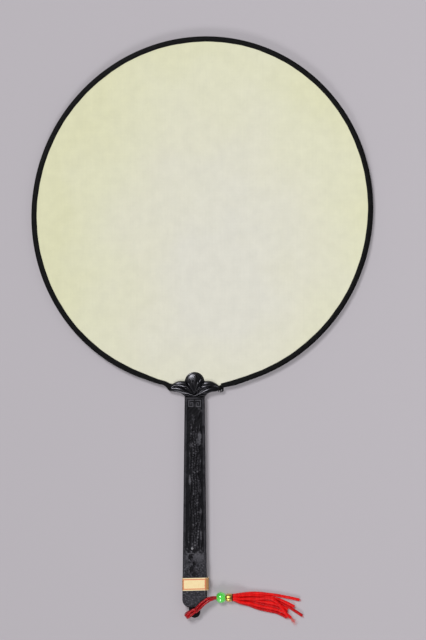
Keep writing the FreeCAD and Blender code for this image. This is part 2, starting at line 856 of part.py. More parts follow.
strand_routes = {
    "strand_1": [
        (21.35, -201.39, 3.78),
        (23.90, -201.39, 3.78),
        (28.50, -201.05, 2.35),
        (35.00, -200.35, 1.00),
        (42.00, -200.30, 0.85),
        (50.00, -201.20, 0.85),
        (57.50, -202.20, 0.85),
        (66.00, -203.90, 0.85),
        (73.10, -205.50, 0.85),
    ],
    "strand_2": [
        (21.35, -201.74, 5.35),
        (24.60, -201.74, 5.35),
        (28.50, -201.65, 4.10),
        (35.00, -201.70, 2.35),
        (42.00, -202.20, 0.85),
        (50.00, -203.30, 0.85),
        (57.50, -204.90, 0.85),
        (63.60, -207.60, 0.85),
        (69.20, -210.60, 0.85),
    ],
    "strand_3": [
        (21.35, -202.40, 2.53),
        (23.90, -202.40, 2.53),
        (28.50, -203.05, 1.40),
        (35.00, -203.10, 0.85),
        (42.00, -204.10, 0.85),
        (50.00, -205.30, 0.85),
        (57.50, -207.20, 0.85),
        (63.50, -209.80, 0.85),
        (69.50, -213.60, 0.85),
        (75.20, -217.40, 0.85),
    ],
    "strand_4": [
        (21.35, -203.20, 4.20),
        (23.90, -203.20, 4.20),
        (28.50, -204.30, 3.00),
        (35.00, -204.60, 1.75),
        (42.00, -206.00, 0.85),
        (50.00, -207.40, 0.85),
        (57.50, -209.20, 0.85),
        (64.20, -212.45, 0.85),
    ],
    "strand_5": [
        (21.35, -204.00, 2.53),
        (23.90, -204.00, 2.53),
        (28.50, -205.55, 1.40),
        (35.00, -206.10, 0.85),
        (42.00, -207.90, 0.85),
        (50.00, -209.40, 0.85),
        (57.50, -211.10, 0.85),
        (64.00, -214.55, 0.85),
    ],
    "strand_6": [
        (21.35, -204.66, 5.35),
        (25.20, -204.66, 5.35),
        (28.50, -206.95, 4.10),
        (35.00, -207.55, 2.45),
        (42.00, -209.80, 0.85),
        (50.00, -211.50, 0.85),
        (57.50, -213.05, 0.85),
        (64.50, -216.95, 0.85),
        (68.60, -222.40, 0.85),
    ],
    "strand_7": [
        (21.35, -205.01, 3.78),
        (23.90, -205.01, 3.78),
        (28.50, -207.65, 2.30),
        (35.00, -209.15, 1.00),
        (42.00, -212.15, 0.85),
        (50.00, -213.80, 0.85),
        (57.50, -215.15, 0.85),
        (63.60, -218.80, 0.85),
    ],
    "strand_8": [
        (21.35, -203.20, 6.07),
        (25.20, -203.20, 6.07),
        (28.50, -204.20, 4.75),
        (35.00, -204.10, 3.45),
        (42.00, -204.90, 2.55),
        (50.00, -203.60, 2.60),
        (55.50, -206.40, 2.60),
        (60.30, -211.90, 2.60),
        (64.20, -218.00, 2.60),
    ],
}
run_share = 0.45
volume_share = 0.01


# A round tube of straight runs joined by tangent arcs, each as large as its two runs allow.
def tube(label, route, thick):
    points = [Vector(*point) for point in route]
    edges = []
    radii = []
    start = points[0]
    for before, corner, after in zip(points, points[1:], points[2:]):
        back = (before - corner).normalize()
        ahead = (after - corner).normalize()
        half_turn = (math.pi - back.getAngle(ahead)) / 2
        tangent = run_share * min(corner.distanceToPoint(before), corner.distanceToPoint(after))
        radius = tangent / math.tan(half_turn)
        inward = (back + ahead).normalize()
        entry = corner + back * tangent
        leave = corner + ahead * tangent
        crown = corner + inward * (radius / math.cos(half_turn) - radius)
        edges.append(Part.LineSegment(start, entry).toShape())
        edges.append(Part.Arc(entry, crown, leave).toShape())
        radii.append(radius)
        start = leave
    edges.append(Part.LineSegment(start, points[-1]).toShape())
    path = Part.Wire(edges)
    ring = Part.Wire(Part.makeCircle(thick.value / 2, points[0], points[1] - points[0]))
    solid = path.makePipeShell([ring], True, False)
    expected = math.pi * thick.value**2 / 4 * path.Length
    if abs(solid.Volume - expected) > volume_share * expected:
        raise ValueError(f"{label} has a volume of {solid.Volume} and not {expected}")
    print(label, "length", round(path.Length, 1), "radii", [round(radius, 1) for radius in radii])
    feature = doc.addObject("Part::Feature", label)
    feature.Shape = solid
    feature.Placement = FreeCAD.Placement()
    return feature


for label, route in cord_routes.items():
    nodes.append(tube(label, route, size.cord_thick))
for label, route in strand_routes.items():
    nodes.append(tube(label, route, size.strand_thick))

doc.recompute()
for thing in doc.Objects:
    if "Invalid" in thing.State or "Error" in thing.State:
        raise ValueError(f"{thing.Label} is {thing.State}")
for node in nodes:
    if node.Shape.isNull() or not node.Shape.isValid():
        raise ValueError(f"{node.Label} has no valid shape")
os.makedirs("parts", exist_ok=True)
for node in nodes:
    node.Shape.exportStep(f"parts/{node.Label}.step")
    print(node.Label, len(node.Shape.Solids), round(node.Shape.Volume, 2))
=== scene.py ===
import functools
import math
import bmesh
import bpy
import numpy as np
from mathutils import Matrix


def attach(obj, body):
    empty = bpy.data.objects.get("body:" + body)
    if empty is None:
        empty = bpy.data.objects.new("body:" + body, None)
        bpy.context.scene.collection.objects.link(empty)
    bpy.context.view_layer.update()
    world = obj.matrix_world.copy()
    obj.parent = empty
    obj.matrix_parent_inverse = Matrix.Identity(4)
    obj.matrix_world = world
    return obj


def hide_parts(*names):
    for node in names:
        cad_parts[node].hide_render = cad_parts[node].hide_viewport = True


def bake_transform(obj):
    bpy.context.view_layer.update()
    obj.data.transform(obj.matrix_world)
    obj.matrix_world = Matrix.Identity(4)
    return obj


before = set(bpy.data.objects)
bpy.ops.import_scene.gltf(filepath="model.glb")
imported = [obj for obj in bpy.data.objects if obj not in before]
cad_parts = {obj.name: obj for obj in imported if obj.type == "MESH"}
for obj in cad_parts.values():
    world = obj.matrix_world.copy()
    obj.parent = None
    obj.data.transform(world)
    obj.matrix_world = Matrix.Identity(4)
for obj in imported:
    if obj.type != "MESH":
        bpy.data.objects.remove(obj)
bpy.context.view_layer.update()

mm = 0.001
fullTurn = 2 * math.pi
seed = np.random.default_rng(7)
scene = bpy.context.scene
scene.view_settings.view_transform = "Standard"

# where things are, in mm: the handle's own frame has its origin on the rim's outer edge
place = {"handleX": -5.7, "handleY": -46.0, "middle": 4.0, "discY": 86.05, "hole": (-5.7, -213.2)}
handleFrame = (place["handleX"], place["handleY"], place["middle"])


def linear(hexText):
    # sRGB hex to linear red, green, blue, alpha
    parts = np.array([int(hexText[i:i + 2], 16) for i in (1, 3, 5)]) / 255
    parts = np.where(parts <= 0.04045, parts / 12.92, ((parts + 0.055) / 1.055) ** 2.4)
    return (*map(float, parts), 1.0)


def fillSockets(node, inputs):
    # inputs by socket name, or as a list in the node's own order: a socket is linked, a plain value is set
    for key, value in inputs.items() if isinstance(inputs, dict) else enumerate(inputs):
        if isinstance(value, bpy.types.NodeSocket):
            node.id_data.links.new(value, node.inputs[key])
        else:
            node.inputs[key].default_value = value


def addNode(tree, kind, inputs=(), stops=(), out=0, **settings):
    # one shader node with its settings, inputs and a ramp's stops of place and colour; gives the output that is used
    node = tree.nodes.new("ShaderNode" + kind)
    for name, value in settings.items():
        setattr(node, name, value)
    fillSockets(node, inputs)
    for count, (position, colour) in enumerate(stops):
        stop = node.color_ramp.elements[count] if count < 2 else node.color_ramp.elements.new(position)
        stop.position, stop.color = position, linear(colour)
    return node.outputs[out]


def newMaterial(name):
    # an empty material, the function that adds nodes to it, and its shader
    material = bpy.data.materials.new(name)
    material.use_nodes = True
    tree = material.node_tree
    return material, functools.partial(addNode, tree), tree.nodes["Principled BSDF"]


def gridPiece(name, grids, material):
    # each grid is points[u, v] in mm with an optional uv[u, v]; equal points are welded, ends may get caps
    mesh = bpy.data.meshes.new(name)
    points, faces, uvs, offset = [], [], [], 0
    for grid in grids:
        p = np.asarray(grid["points"], float)
        nu, nv = p.shape[:2]
        index = offset + np.arange(nu * nv).reshape(nu, nv)
        quads = np.stack([index[:-1, :-1], index[1:, :-1], index[1:, 1:], index[:-1, 1:]], -1).reshape(-1, 4)
        points.append(p.reshape(-1, 3))
        uvs.append(np.asarray(grid.get("uv", p[..., :2]), float).reshape(-1, 2))
        faces.extend(quads.tolist())
        if grid.get("caps"):
            faces.append(index[0, :-1][::-1].tolist())
            faces.append(index[-1, :-1].tolist())
        offset += nu * nv
    mesh.from_pydata((np.concatenate(points) * mm).tolist(), [], faces)
    layer = mesh.uv_layers.new(name="surface")
    corners = np.zeros(len(mesh.loops), np.int32)
    mesh.loops.foreach_get("vertex_index", corners)
    layer.data.foreach_set("uv", np.concatenate(uvs)[corners].ravel().astype(np.float32))
    shape = bmesh.new()
    shape.from_mesh(mesh)
    bmesh.ops.remove_doubles(shape, verts=shape.verts, dist=2e-7)
    bmesh.ops.recalc_face_normals(shape, faces=shape.faces)
    shape.to_mesh(mesh)
    shape.free()
    mesh.polygons.foreach_set("use_smooth", np.full(len(mesh.polygons), True))
    mesh.materials.append(material)
    piece = bpy.data.objects.new(name, mesh)
    scene.collection.objects.link(piece)
    return piece


def smoothNoise(x, y, waves):
    # sum of sines in seeded directions: each wave is (length in mm, height in mm)
    total = np.zeros_like(x)
    for length, height in waves:
        turn, phase = seed.uniform(0, fullTurn, 2)
        total += height * np.sin(fullTurn * (x * math.cos(turn) + y * math.sin(turn)) / length + phase)
    return total


waveTurn = 6.283 / 20  # how far apart a wave texture's bands are at scale 1

# silk tabby glued over the hoop and sized: matt, cream, warmer at the rim, with cloudy age and slubs in the threads
# sizes in mm; the threads are 0.45 mm apart and are drawn 1.1 mm apart, so that they show in a close view
silkLook = {"paleMiddle": (15.0, 21.7), "paleReach": 130, "cloud": 55, "stain": 8, "thread": 1.1, "slub": (1.6, 22),
            "tones": [(0.2, "#DEDCD0"), (0.5, "#DFDDC9"), (0.75, "#DFDEC3"), (1.0, "#DEDDBA")]}


def silkMaterial():
    material, add, shader = newMaterial("sized_silk")
    spot = add("TexCoord", out="Object")
    # tone by the distance from the pale middle, made uneven by clouds
    middle = (-silkLook["paleMiddle"][0] * mm, -silkLook["paleMiddle"][1] * mm, 0)
    about = add("Mapping", {"Vector": spot, "Location": middle, "Scale": (1, 0.62, 0)})
    away = add("VectorMath", [about], out="Value", operation="LENGTH")
    cloud = add("TexNoise", {"Vector": spot, "Scale": 1 / (silkLook["cloud"] * mm), "Detail": 3.0, "Roughness": 0.5})
    reach = add("Math", [away, 1 / (silkLook["paleReach"] * mm), -0.26], operation="MULTIPLY_ADD")
    reach = add("Math", [cloud, 0.52, reach], operation="MULTIPLY_ADD")
    tone = add("ValToRGB", {"Fac": reach}, silkLook["tones"])
    stain = add("TexNoise", {"Vector": spot, "Scale": 1 / (silkLook["stain"] * mm), "Detail": 3.0, "Roughness": 0.6})
    stain = add("MapRange", {"Value": stain, "From Min": 0.3, "From Max": 0.7, "To Min": 0.968, "To Max": 1.03})
    # weft and warp
    threads = {"Vector": spot, "Scale": waveTurn / (silkLook["thread"] * mm), "Distortion": 0.6, "Detail": 1.0}
    weft = add("TexWave", threads, out="Fac", bands_direction="Y")
    warp = add("TexWave", threads, out="Fac", bands_direction="X")
    weave = add("Math", [weft, warp], operation="ADD")
    slubWide, slubLong = silkLook["slub"]
    slubs = add("Mapping", {"Vector": spot, "Scale": (1 / (slubWide * mm), 1 / (slubLong * mm), 1)})
    slub = add("TexNoise", {"Vector": slubs, "Scale": 1.0, "Detail": 2.0})
    shade = add("MapRange", {"Value": slub, "From Min": 0.3, "From Max": 0.75, "To Min": 1.001, "To Max": 0.98})
    fleck = add("MapRange", {"Value": weave, "From Min": 0.0, "From Max": 2.0, "To Min": 0.98, "To Max": 1.01})
    both = add("Math", [shade, fleck], operation="MULTIPLY")
    both = add("Math", [both, stain], operation="MULTIPLY")
    colour = add("Mix", {0: 1.0, 6: tone, 7: both}, out=2, data_type="RGBA", blend_type="MULTIPLY")
    bump = add("Bump", {"Height": weave, "Strength": 0.08, "Distance": 0.0001})
    fillSockets(shader, {"Base Color": colour, "Normal": bump, "Roughness": 0.72, "Specular IOR Level": 0.3,
                         "Sheen Weight": 0.08})
    return material


# black cotton binding tape: twill ribs across the fold, a low sheen and specks of lint
# sizes in mm along the tape and round its fold; ribs 0.5 mm apart are drawn 0.9 mm apart so that they show
tapeLook = {"rib": 0.9, "slant": 62, "lint": 3.5, "tones": [(0.35, "#040405"), (0.75, "#0A0A0B"), (1.0, "#18181A")]}


def tapeMaterial():
    material, add, shader = newMaterial("cotton_twill_tape")
    along = add("UVMap", uv_map="surface")
    ribs = add("Mapping", {"Vector": along, "Rotation": (0, 0, math.radians(tapeLook["slant"]))})
    ribScale = waveTurn / tapeLook["rib"]
    twill = add("TexWave", {"Vector": ribs, "Scale": ribScale, "Distortion": 0.8, "Detail": 2.0}, out="Fac")
    lint = add("TexNoise", {"Vector": along, "Scale": 1 / tapeLook["lint"], "Detail": 4.0, "Roughness": 0.6})
    mixed = add("Math", [twill, 0.35, lint], operation="MULTIPLY_ADD")
    tone = add("ValToRGB", {"Fac": mixed}, tapeLook["tones"])
    bump = add("Bump", {"Height": twill, "Strength": 0.35, "Distance": 0.00012})
    fillSockets(shader, {"Base Color": tone, "Normal": bump, "Roughness": 0.6, "Specular IOR Level": 0.14})
    return material


# black phenolic moulding: satin and nearly black, greyer on the raised parts as wear and darker in the recesses as
# painted shade, rough and speckled at the worn lower end; sizes in mm, heights from the fan's middle plane, and the
# worn end along y
phenolicLook = {"dust": 6, "grit": 1.3, "scuff": (0.7, 9, 2), "raised": (3.0, 4.0), "wornRaised": (3.1, 3.6),
                "wornFrom": -132, "wornTo": -158, "creep": 50, "dark": [(0.55, "#030304"), (0.8, "#09090B")],
                "specks": [(0.38, "#040405"), (0.46, "#1E1D21"), (0.56, "#323136"), (0.66, "#55545A")]}


def mouldingMaterial(name, raisedTone, bare, shiny, dull, pitted, shine):
    # the raised parts' tone: how much greyer they are than the recess floor, wear on top and painted shade below; bare:
    # that grey, shiny and dull: roughness of the dark and the grey parts, pitted: depth of the grit, shine: specular
    # level
    material, add, shader = newMaterial(name)
    look = phenolicLook
    spot = add("TexCoord", out="Object")
    dust = add("TexNoise", {"Vector": spot, "Scale": 1 / (look["dust"] * mm), "Detail": 5.0, "Roughness": 0.65})
    grit = add("TexNoise", {"Vector": spot, "Scale": 1 / (look["grit"] * mm), "Detail": 4.0, "Roughness": 0.65})
    scuffs = add("Mapping", {"Vector": spot, "Scale": [1 / (size * mm) for size in look["scuff"]]})
    scuff = add("TexNoise", {"Vector": scuffs, "Scale": 1.0, "Detail": 2.0})
    mixed = add("Math", [grit, 0.35, dust], operation="MULTIPLY_ADD")
    mixed = add("Math", [scuff, 0.25, mixed], operation="MULTIPLY_ADD")
    apart = add("SeparateXYZ", {"Vector": spot}).node.outputs
    lift = add("Math", [apart["Z"], place["middle"] * mm], operation="SUBTRACT")
    lift = add("Math", [lift], operation="ABSOLUTE")
    begin, end = look["raised"]
    # painted shade and wear: the recess floor is darkened and the raised parts are greyed by their height
    shadeAndWearByHeight = {"Value": lift, "From Min": begin * mm, "From Max": end * mm, "To Min": -0.16, "To Max": raisedTone}
    mixed = add("Math", [mixed, add("MapRange", shadeAndWearByHeight)], operation="ADD")
    tone = add("ValToRGB", {"Fac": mixed}, look["dark"] + [(1.0, bare)])
    # the worn end creeps up the handle in patches
    creep = add("Math", [dust, look["creep"] * mm, apart["Y"]], operation="MULTIPLY_ADD")
    worn = add("MapRange", {"Value": creep, "From Min": look["wornFrom"] * mm, "From Max": look["wornTo"] * mm})
    begin, end = look["wornRaised"]
    raised = add("MapRange", {"Value": lift, "From Min": begin * mm, "From Max": end * mm, "To Min": 0.1})
    worn = add("Math", [worn, raised], operation="MULTIPLY")
    speck = add("ValToRGB", {"Fac": grit}, look["specks"])
    colour = add("Mix", {0: worn, 6: tone, 7: speck}, out=2, data_type="RGBA")
    gloss = add("MapRange", {"Value": mixed, "From Min": 0.55, "From Max": 1.0, "To Min": shiny, "To Max": dull})
    gloss = add("Math", [worn, 0.2, gloss], operation="MULTIPLY_ADD")
    rough = add("Math", [worn, 2.0, pitted], operation="MULTIPLY_ADD")
    rough = add("Math", [rough, grit], operation="MULTIPLY")
    bump = add("Bump", {"Height": rough, "Strength": 0.15, "Distance": 0.00012})
    fillSockets(shader, {"Base Color": colour, "Roughness": gloss, "Normal": bump, "IOR": 1.55,
                         "Specular IOR Level": shine, "Specular Tint": linear("#F4F2FF")})
    return material


# split cane stained black: long fibres, half matt
def caneMaterial():
    material, add, shader = newMaterial("stained_cane")
    spot = add("TexCoord", out="Object")
    fibres = add("Mapping", {"Vector": spot, "Scale": (1 / (20 * mm), 1 / (0.6 * mm), 1 / (0.6 * mm))})
    fibre = add("TexNoise", {"Vector": fibres, "Scale": 1.0, "Detail": 3.0})
    tone = add("ValToRGB", {"Fac": fibre}, [(0.3, "#17130F"), (0.8, "#33291F")])
    fillSockets(shader, {"Base Color": tone, "Roughness": 0.6})
    return material


# gummed paper: pulp mottle, darker towards both folds and most over the right one as painted shade, torn pale along its
# edges, with one printed border line
def labelMaterial(label):
    material, add, shader = newMaterial("gummed_paper")
    onPaper = add("UVMap", uv_map="surface")
    apart = add("SeparateXYZ", {"Vector": onPaper}).node.outputs
    # distance in from the printed frame on each axis, in mm, and then the line where it is near nothing
    sideways = add("Math", [apart["X"]], operation="ABSOLUTE")
    upright = add("Math", [apart["Y"]], operation="ABSOLUTE")
    fromSide = add("Math", [label["frameWidth"] / 2, sideways], operation="SUBTRACT")
    fromTop = add("Math", [label["frameHeight"] / 2, upright], operation="SUBTRACT")
    inside = add("Math", [fromSide, fromTop], operation="MINIMUM")
    wobble = add("TexNoise", {"Vector": onPaper, "Scale": 0.9, "Detail": 2.0})
    inside = add("Math", [wobble, 0.35, inside], operation="MULTIPLY_ADD")
    inside = add("MapRange", {"Value": inside, "From Min": -0.7, "From Max": 1.1})
    line = add("ValToRGB", {"Fac": inside}, [(0.0, "#000000"), (0.22, "#000000"), (0.4, "#FFFFFF"), (0.64, "#FFFFFF"),
                                             (0.82, "#000000")])
    # paper: darker towards both folds, and most over the right one, where the extra tan is painted shade
    pulp = add("TexNoise", {"Vector": onPaper, "Scale": 1 / 2.4, "Detail": 5.0, "Roughness": 0.6})
    foldAt, edge = label["foldAt"], label["halfHeight"]
    fold = add("MapRange", {"Value": sideways, "From Min": foldAt - 1.6, "From Max": foldAt + 0.6})
    stain = add("Math", [fold, 0.5, pulp], operation="MULTIPLY_ADD")
    # painted shade: the paper over the right flank is made darker still
    rightFlankShade = add("MapRange", {"Value": apart["X"], "From Min": foldAt - 0.8, "From Max": foldAt + 0.8, "To Max": 0.5})
    stain = add("Math", [stain, rightFlankShade], operation="ADD")
    paper = add("ValToRGB", {"Fac": stain}, [(0.3, "#FAE5B3"), (0.66, "#F5DBA6"), (0.82, "#E0B87F"), (1.0, "#A97C4C")])
    colour = add("Mix", {0: line, 6: paper, 7: linear("#DB7C55")}, out=2, data_type="RGBA")
    torn = add("Math", [wobble, 0.8, upright], operation="MULTIPLY_ADD")
    torn = add("MapRange", {"Value": torn, "From Min": edge - 0.05, "From Max": edge + 0.3, "To Max": 0.8})
    colour = add("Mix", {0: torn, 6: colour, 7: linear("#F4E3C2")}, out=2, data_type="RGBA")
    bump = add("Bump", {"Height": pulp, "Strength": 0.2, "Distance": 0.0002})
    fillSockets(shader, {"Base Color": colour, "Normal": bump, "Roughness": 0.75})
    return material


# viscose satin cord: close twist, darker between the turns as painted shade, with a long soft highlight; sizes in mm
# along the cord
cordLook = {"turn": 2.2, "fuzz": 1.7}


def cordMaterial(name, dark, mid, bright, shine=0.2, rough=0.38):
    # the twist is a sine of the way along and the way round together, two bands to a turn
    material, add, shader = newMaterial(name)
    along = add("UVMap", uv_map="surface")
    twist = add("Mapping", {"Vector": along, "Scale": (1 / cordLook["turn"], 1.0, 1.0)})
    lean = add("VectorMath", [twist, (1.0, 1.0, 0.0)], out="Value", operation="DOT_PRODUCT")
    twistAndShade = add("Math", [lean, 6.2832 * 2], operation="MULTIPLY")
    twistAndShade = add("Math", [twistAndShade], operation="SINE")
    fuzz = add("TexNoise", {"Vector": along, "Scale": 1 / cordLook["fuzz"], "Detail": 4.0})
    # the colour follows the twist: painted shade darker between the turns, made uneven by fuzz
    mixed = add("Math", [twistAndShade, 0.08, fuzz], operation="MULTIPLY_ADD")
    tone = add("ValToRGB", {"Fac": mixed}, [(0.25, dark), (0.5, mid), (0.8, bright)])
    bump = add("Bump", {"Height": twistAndShade, "Strength": 0.15, "Distance": 0.00006})
    fillSockets(shader, {"Base Color": tone, "Normal": bump, "Roughness": rough, "Specular IOR Level": shine})
    return material


# cast acrylic: clear green through and through, polished, with faint swirls of the casting
def beadMaterial():
    material, add, shader = newMaterial("cast_acrylic")
    spot = add("TexCoord", out="Object")
    swirl = add("TexNoise", {"Vector": spot, "Scale": 1 / (3 * mm), "Detail": 2.0, "Distortion": 1.2})
    tone = add("ValToRGB", {"Fac": swirl}, [(0.3, "#4FDC4A"), (0.7, "#76F06C")])
    fillSockets(shader, {"Base Color": tone, "Roughness": 0.2, "IOR": 1.49, "Specular IOR Level": 1.0,
                         "Coat Weight": 1.0, "Coat Roughness": 0.16, "Coat IOR": 1.7, "Subsurface Weight": 0.25,
                         "Subsurface Radius": (0.4, 1.0, 0.4), "Subsurface Scale": 2 * mm})
    return material


# gilt brass: bright gold, a little dulled by tarnish in specks
def giltMaterial():
    material, add, shader = newMaterial("gilt_brass")
    spot = add("TexCoord", out="Object")
    tarnish = add("TexNoise", {"Vector": spot, "Scale": 1 / (1.6 * mm), "Detail": 4.0})
    tone = add("ValToRGB", {"Fac": tarnish}, [(0.3, "#EFC255"), (0.6, "#FFE88E")])
    gloss = add("MapRange", {"Value": tarnish, "To Min": 0.42, "To Max": 0.28})
    fillSockets(shader, {"Base Color": tone, "Roughness": gloss, "Metallic": 1.0})
    return material


moulding = mouldingMaterial("moulded_phenolic", raisedTone=0.14, bare="#2F2E32", shiny=0.28, dull=0.4, pitted=0.2, shine=0.5)
polished = mouldingMaterial("polished_phenolic", raisedTone=-0.16, bare="#2F2E32", shiny=0.29, dull=0.32, pitted=0.02, shine=0.8)
carved = mouldingMaterial("carved_phenolic", raisedTone=0.28, bare="#535257", shiny=0.42, dull=0.5, pitted=0.1, shine=0.3)
# pale grey for the relief's pearl: a painted highlight, with the moulding's gloss over it
pearlPaintedHighlight = mouldingMaterial("pearl_painted_highlight_phenolic", raisedTone=0.5, bare="#9A999D", shiny=0.25, dull=0.3, pitted=0.02, shine=1.0)
cane = caneMaterial()
cordRed = cordMaterial("viscose_cord", "#7E060F", "#AA0C15", "#C61A21", 0.45, 0.3)
strandRed = cordMaterial("viscose_strand", "#C80A0E", "#E61414", "#F02A26")
# a darker copy of the strand red for the strands that lie underneath: painted shade
strandPaintedShade = cordMaterial("viscose_strand_painted_shade", "#9A070B", "#BE0C11", "#D41C1D")
cordDark = cordMaterial("waxed_thread", "#3A0A0A", "#551010", "#6E1A16")
frayRed = cordMaterial("viscose_fibre", "#CF4A48", "#DE6E69", "#E7958E")
# solids that are seen as they are
for nodeName in ("handle_front", "handle_back", "crest_peg_left", "crest_peg_right", "handle_peg_1", "handle_peg_2",
                 "handle_peg_3", "hoop"):
    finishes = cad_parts[nodeName].data.materials
    finishes.clear()
    finishes.append(cane if nodeName == "hoop" else moulding)
print("materials ready")

# camera straight over the fan, as in a copy-stand picture: what it looks at and how wide it sees, in mm
camera = {"lens": 85.0, "sensor": 36.0, "look": (8.05, 5.2, 5.5), "across": 480.0, "nearest": 50}
eye = bpy.data.objects.new("camera", bpy.data.cameras.new("camera"))
eye.data.lens = camera["lens"]
eye.data.sensor_width = camera["sensor"]
eye.data.clip_start = camera["nearest"] * mm
lookX, lookY, lookZ = camera["look"]
eye.location = (lookX * mm, lookY * mm, (camera["across"] * camera["lens"] / camera["sensor"] + lookZ) * mm)
scene.collection.objects.link(eye)
scene.camera = eye

# cords: control points in mm
routes = {
    "cord": [
        (19.75, -203.20, 5.20), (9.60, -203.20, 5.20), (7.70, -203.90, 8.00), (5.40, -204.35, 9.20),
        (0.78, -207.70, 9.20), (-2.31, -211.01, 9.25), (-3.47, -212.44, 7.85), (-5.06, -213.97, 6.90),
        (-5.06, -213.97, 1.00), (-11.06, -217.42, 1.15), (-11.06, -217.42, 9.75), (-4.61, -212.48, 9.95),
        (-6.28, -210.49, 9.95), (-12.24, -215.98, 9.75), (-12.24, -215.98, 1.15), (-6.34, -212.43, 1.00),
        (-6.34, -212.43, 6.90), (-5.02, -211.06, 7.85), (-3.66, -209.40, 9.50), (-0.54, -206.13, 9.40),
        (3.70, -203.10, 9.40), (6.50, -203.00, 5.50), (8.60, -203.20, 3.20), (19.75, -203.20, 3.20),
    ],
    "strand_1": [
        (21.35, -201.39, 3.78), (23.90, -201.39, 3.78), (28.50, -201.05, 2.35), (35.00, -200.35, 1.25),
        (42.00, -200.30, 1.15), (50.00, -201.20, 1.15), (57.50, -202.20, 1.15), (66.00, -203.90, 1.15),
        (73.10, -205.50, 1.15),
    ],
    "strand_2": [
        (21.35, -201.74, 5.35), (24.60, -201.74, 5.35), (28.50, -201.65, 4.10), (35.00, -201.70, 2.35),
        (42.00, -202.20, 1.15), (50.00, -203.30, 1.15), (57.50, -204.90, 1.15), (63.60, -207.60, 1.15),
        (69.20, -210.60, 1.15),
    ],
    "strand_3": [
        (21.35, -202.40, 2.53), (23.90, -202.40, 2.53), (28.50, -203.05, 1.40), (35.00, -203.10, 1.15),
        (42.00, -204.10, 1.15), (50.00, -205.30, 1.15), (57.50, -207.20, 1.15), (63.50, -209.80, 1.15),
        (69.50, -213.60, 1.15), (75.20, -217.40, 1.15),
    ],
    "strand_4": [
        (21.35, -203.20, 4.20), (23.90, -203.20, 4.20), (28.50, -204.30, 3.00), (35.00, -204.60, 1.75),
        (42.00, -206.00, 1.15), (50.00, -207.40, 1.15), (57.50, -209.20, 1.15), (64.20, -212.45, 1.15),
    ],
    "strand_5": [
        (21.35, -204.00, 2.53), (23.90, -204.00, 2.53), (28.50, -205.55, 1.40), (35.00, -206.10, 1.15),
        (42.00, -207.90, 1.15), (50.00, -209.40, 1.15), (57.50, -211.10, 1.15), (64.00, -214.55, 1.15),
    ],
    "strand_6": [
        (21.35, -204.66, 5.35), (25.20, -204.66, 5.35), (28.50, -206.95, 4.10), (35.00, -207.55, 2.45),
        (42.00, -209.80, 1.15), (50.00, -211.50, 1.15), (57.50, -213.05, 1.15), (63.60, -215.90, 1.15),
        (66.60, -219.00, 1.15),
    ],
    "strand_7": [
        (21.35, -205.01, 3.78), (23.90, -205.01, 3.78), (28.50, -207.65, 2.30), (35.00, -209.15, 1.25),
        (42.00, -212.15, 1.15), (50.00, -213.80, 1.15), (57.50, -215.15, 1.15), (63.60, -218.80, 1.15),
    ],
    "strand_8": [
        (21.35, -203.20, 6.07), (25.20, -203.20, 6.07), (28.50, -204.20, 4.95), (35.00, -204.10, 3.75),
        (42.00, -204.70, 3.05), (50.00, -203.40, 3.10), (55.50, -206.20, 3.10), (60.30, -211.90, 3.10),
        (64.20, -218.00, 2.80),
    ],
}
cordSizes = {"cordThick": 1.9, "strandThick": 2.2, "under": ("strand_3", "strand_5", "strand_7"),
             "sides": 20, "plies": 3, "plyDepth": 0.025, "pitch": 7.0,
             # the strands' fullness by the distance from the cap, and the cord's squash over the lug: x, y, reach, share
             "drawnIn": ((1.2, 5.0), (0.78, 1.0)), "squash": (-11.65, -216.7, 2.8, 0.42),
             # where the cord turns from the fan to the tassel: height and heading of its leads, distances from the hole
             "leadZ": 4.1, "heading": (0.766, 0.643, 0), "turnsFrom": 2.5, "turnsTo": 9.5}
# loose fibres at a strand's end: how many and how long, thickness and the tip's share of it, how far they spread for
# their length and at the foot, each with a share for upwards, how far inside the end they start, and the lowest height
fray = {"fibres": (9, 2.4), "fringe": {"strand_6": (44, 6.4), "strand_7": (14, 2.8)}, "thick": 0.2, "tip": 0.35,
        "steps": 7, "sides": 5, "spread": 0.24, "spreadUp": 0.35, "foot": 0.3, "footUp": 0.6, "inside": 0.5,
        "curl": 1.6, "lowest": 0.25}


def splineLine(route):
    # the points of a smooth NURBS curve with the route as its control points, in mm
    curve = bpy.data.curves.new("line", "CURVE")
    curve.dimensions = "3D"
    curve.resolution_u = 14
    spline = curve.splines.new("NURBS")
    spline.points.add(len(route) - 1)
    spline.points.foreach_set("co", np.column_stack([np.array(route) * mm, np.ones(len(route))]).ravel())
    spline.order_u = 3
    spline.use_endpoint_u = True
    holder = bpy.data.objects.new("line", curve)
    mesh = bpy.data.meshes.new_from_object(holder)
    points = np.zeros(len(mesh.vertices) * 3)
    mesh.vertices.foreach_get("co", points)
    bpy.data.objects.remove(holder)
    bpy.data.curves.remove(curve)
    bpy.data.meshes.remove(mesh)
    points = points.reshape(-1, 3) / mm
    keep = np.r_[True, np.linalg.norm(np.diff(points, axis=0), axis=1) > 1e-5]
    return points[keep]


def alongLine(line):
    # distance along the line, and two directions across it, both from one fixed slant that no cord here runs along
    far = np.r_[0, np.cumsum(np.linalg.norm(np.diff(line, axis=0), axis=1))]
    heading = np.gradient(line, far, axis=0)
    heading /= np.linalg.norm(heading, axis=1)[:, None]
    across = np.cross(heading, (0.37, -0.6, 0.71))
    across /= np.linalg.norm(across, axis=1)[:, None]
    return far, across, np.cross(heading, across)


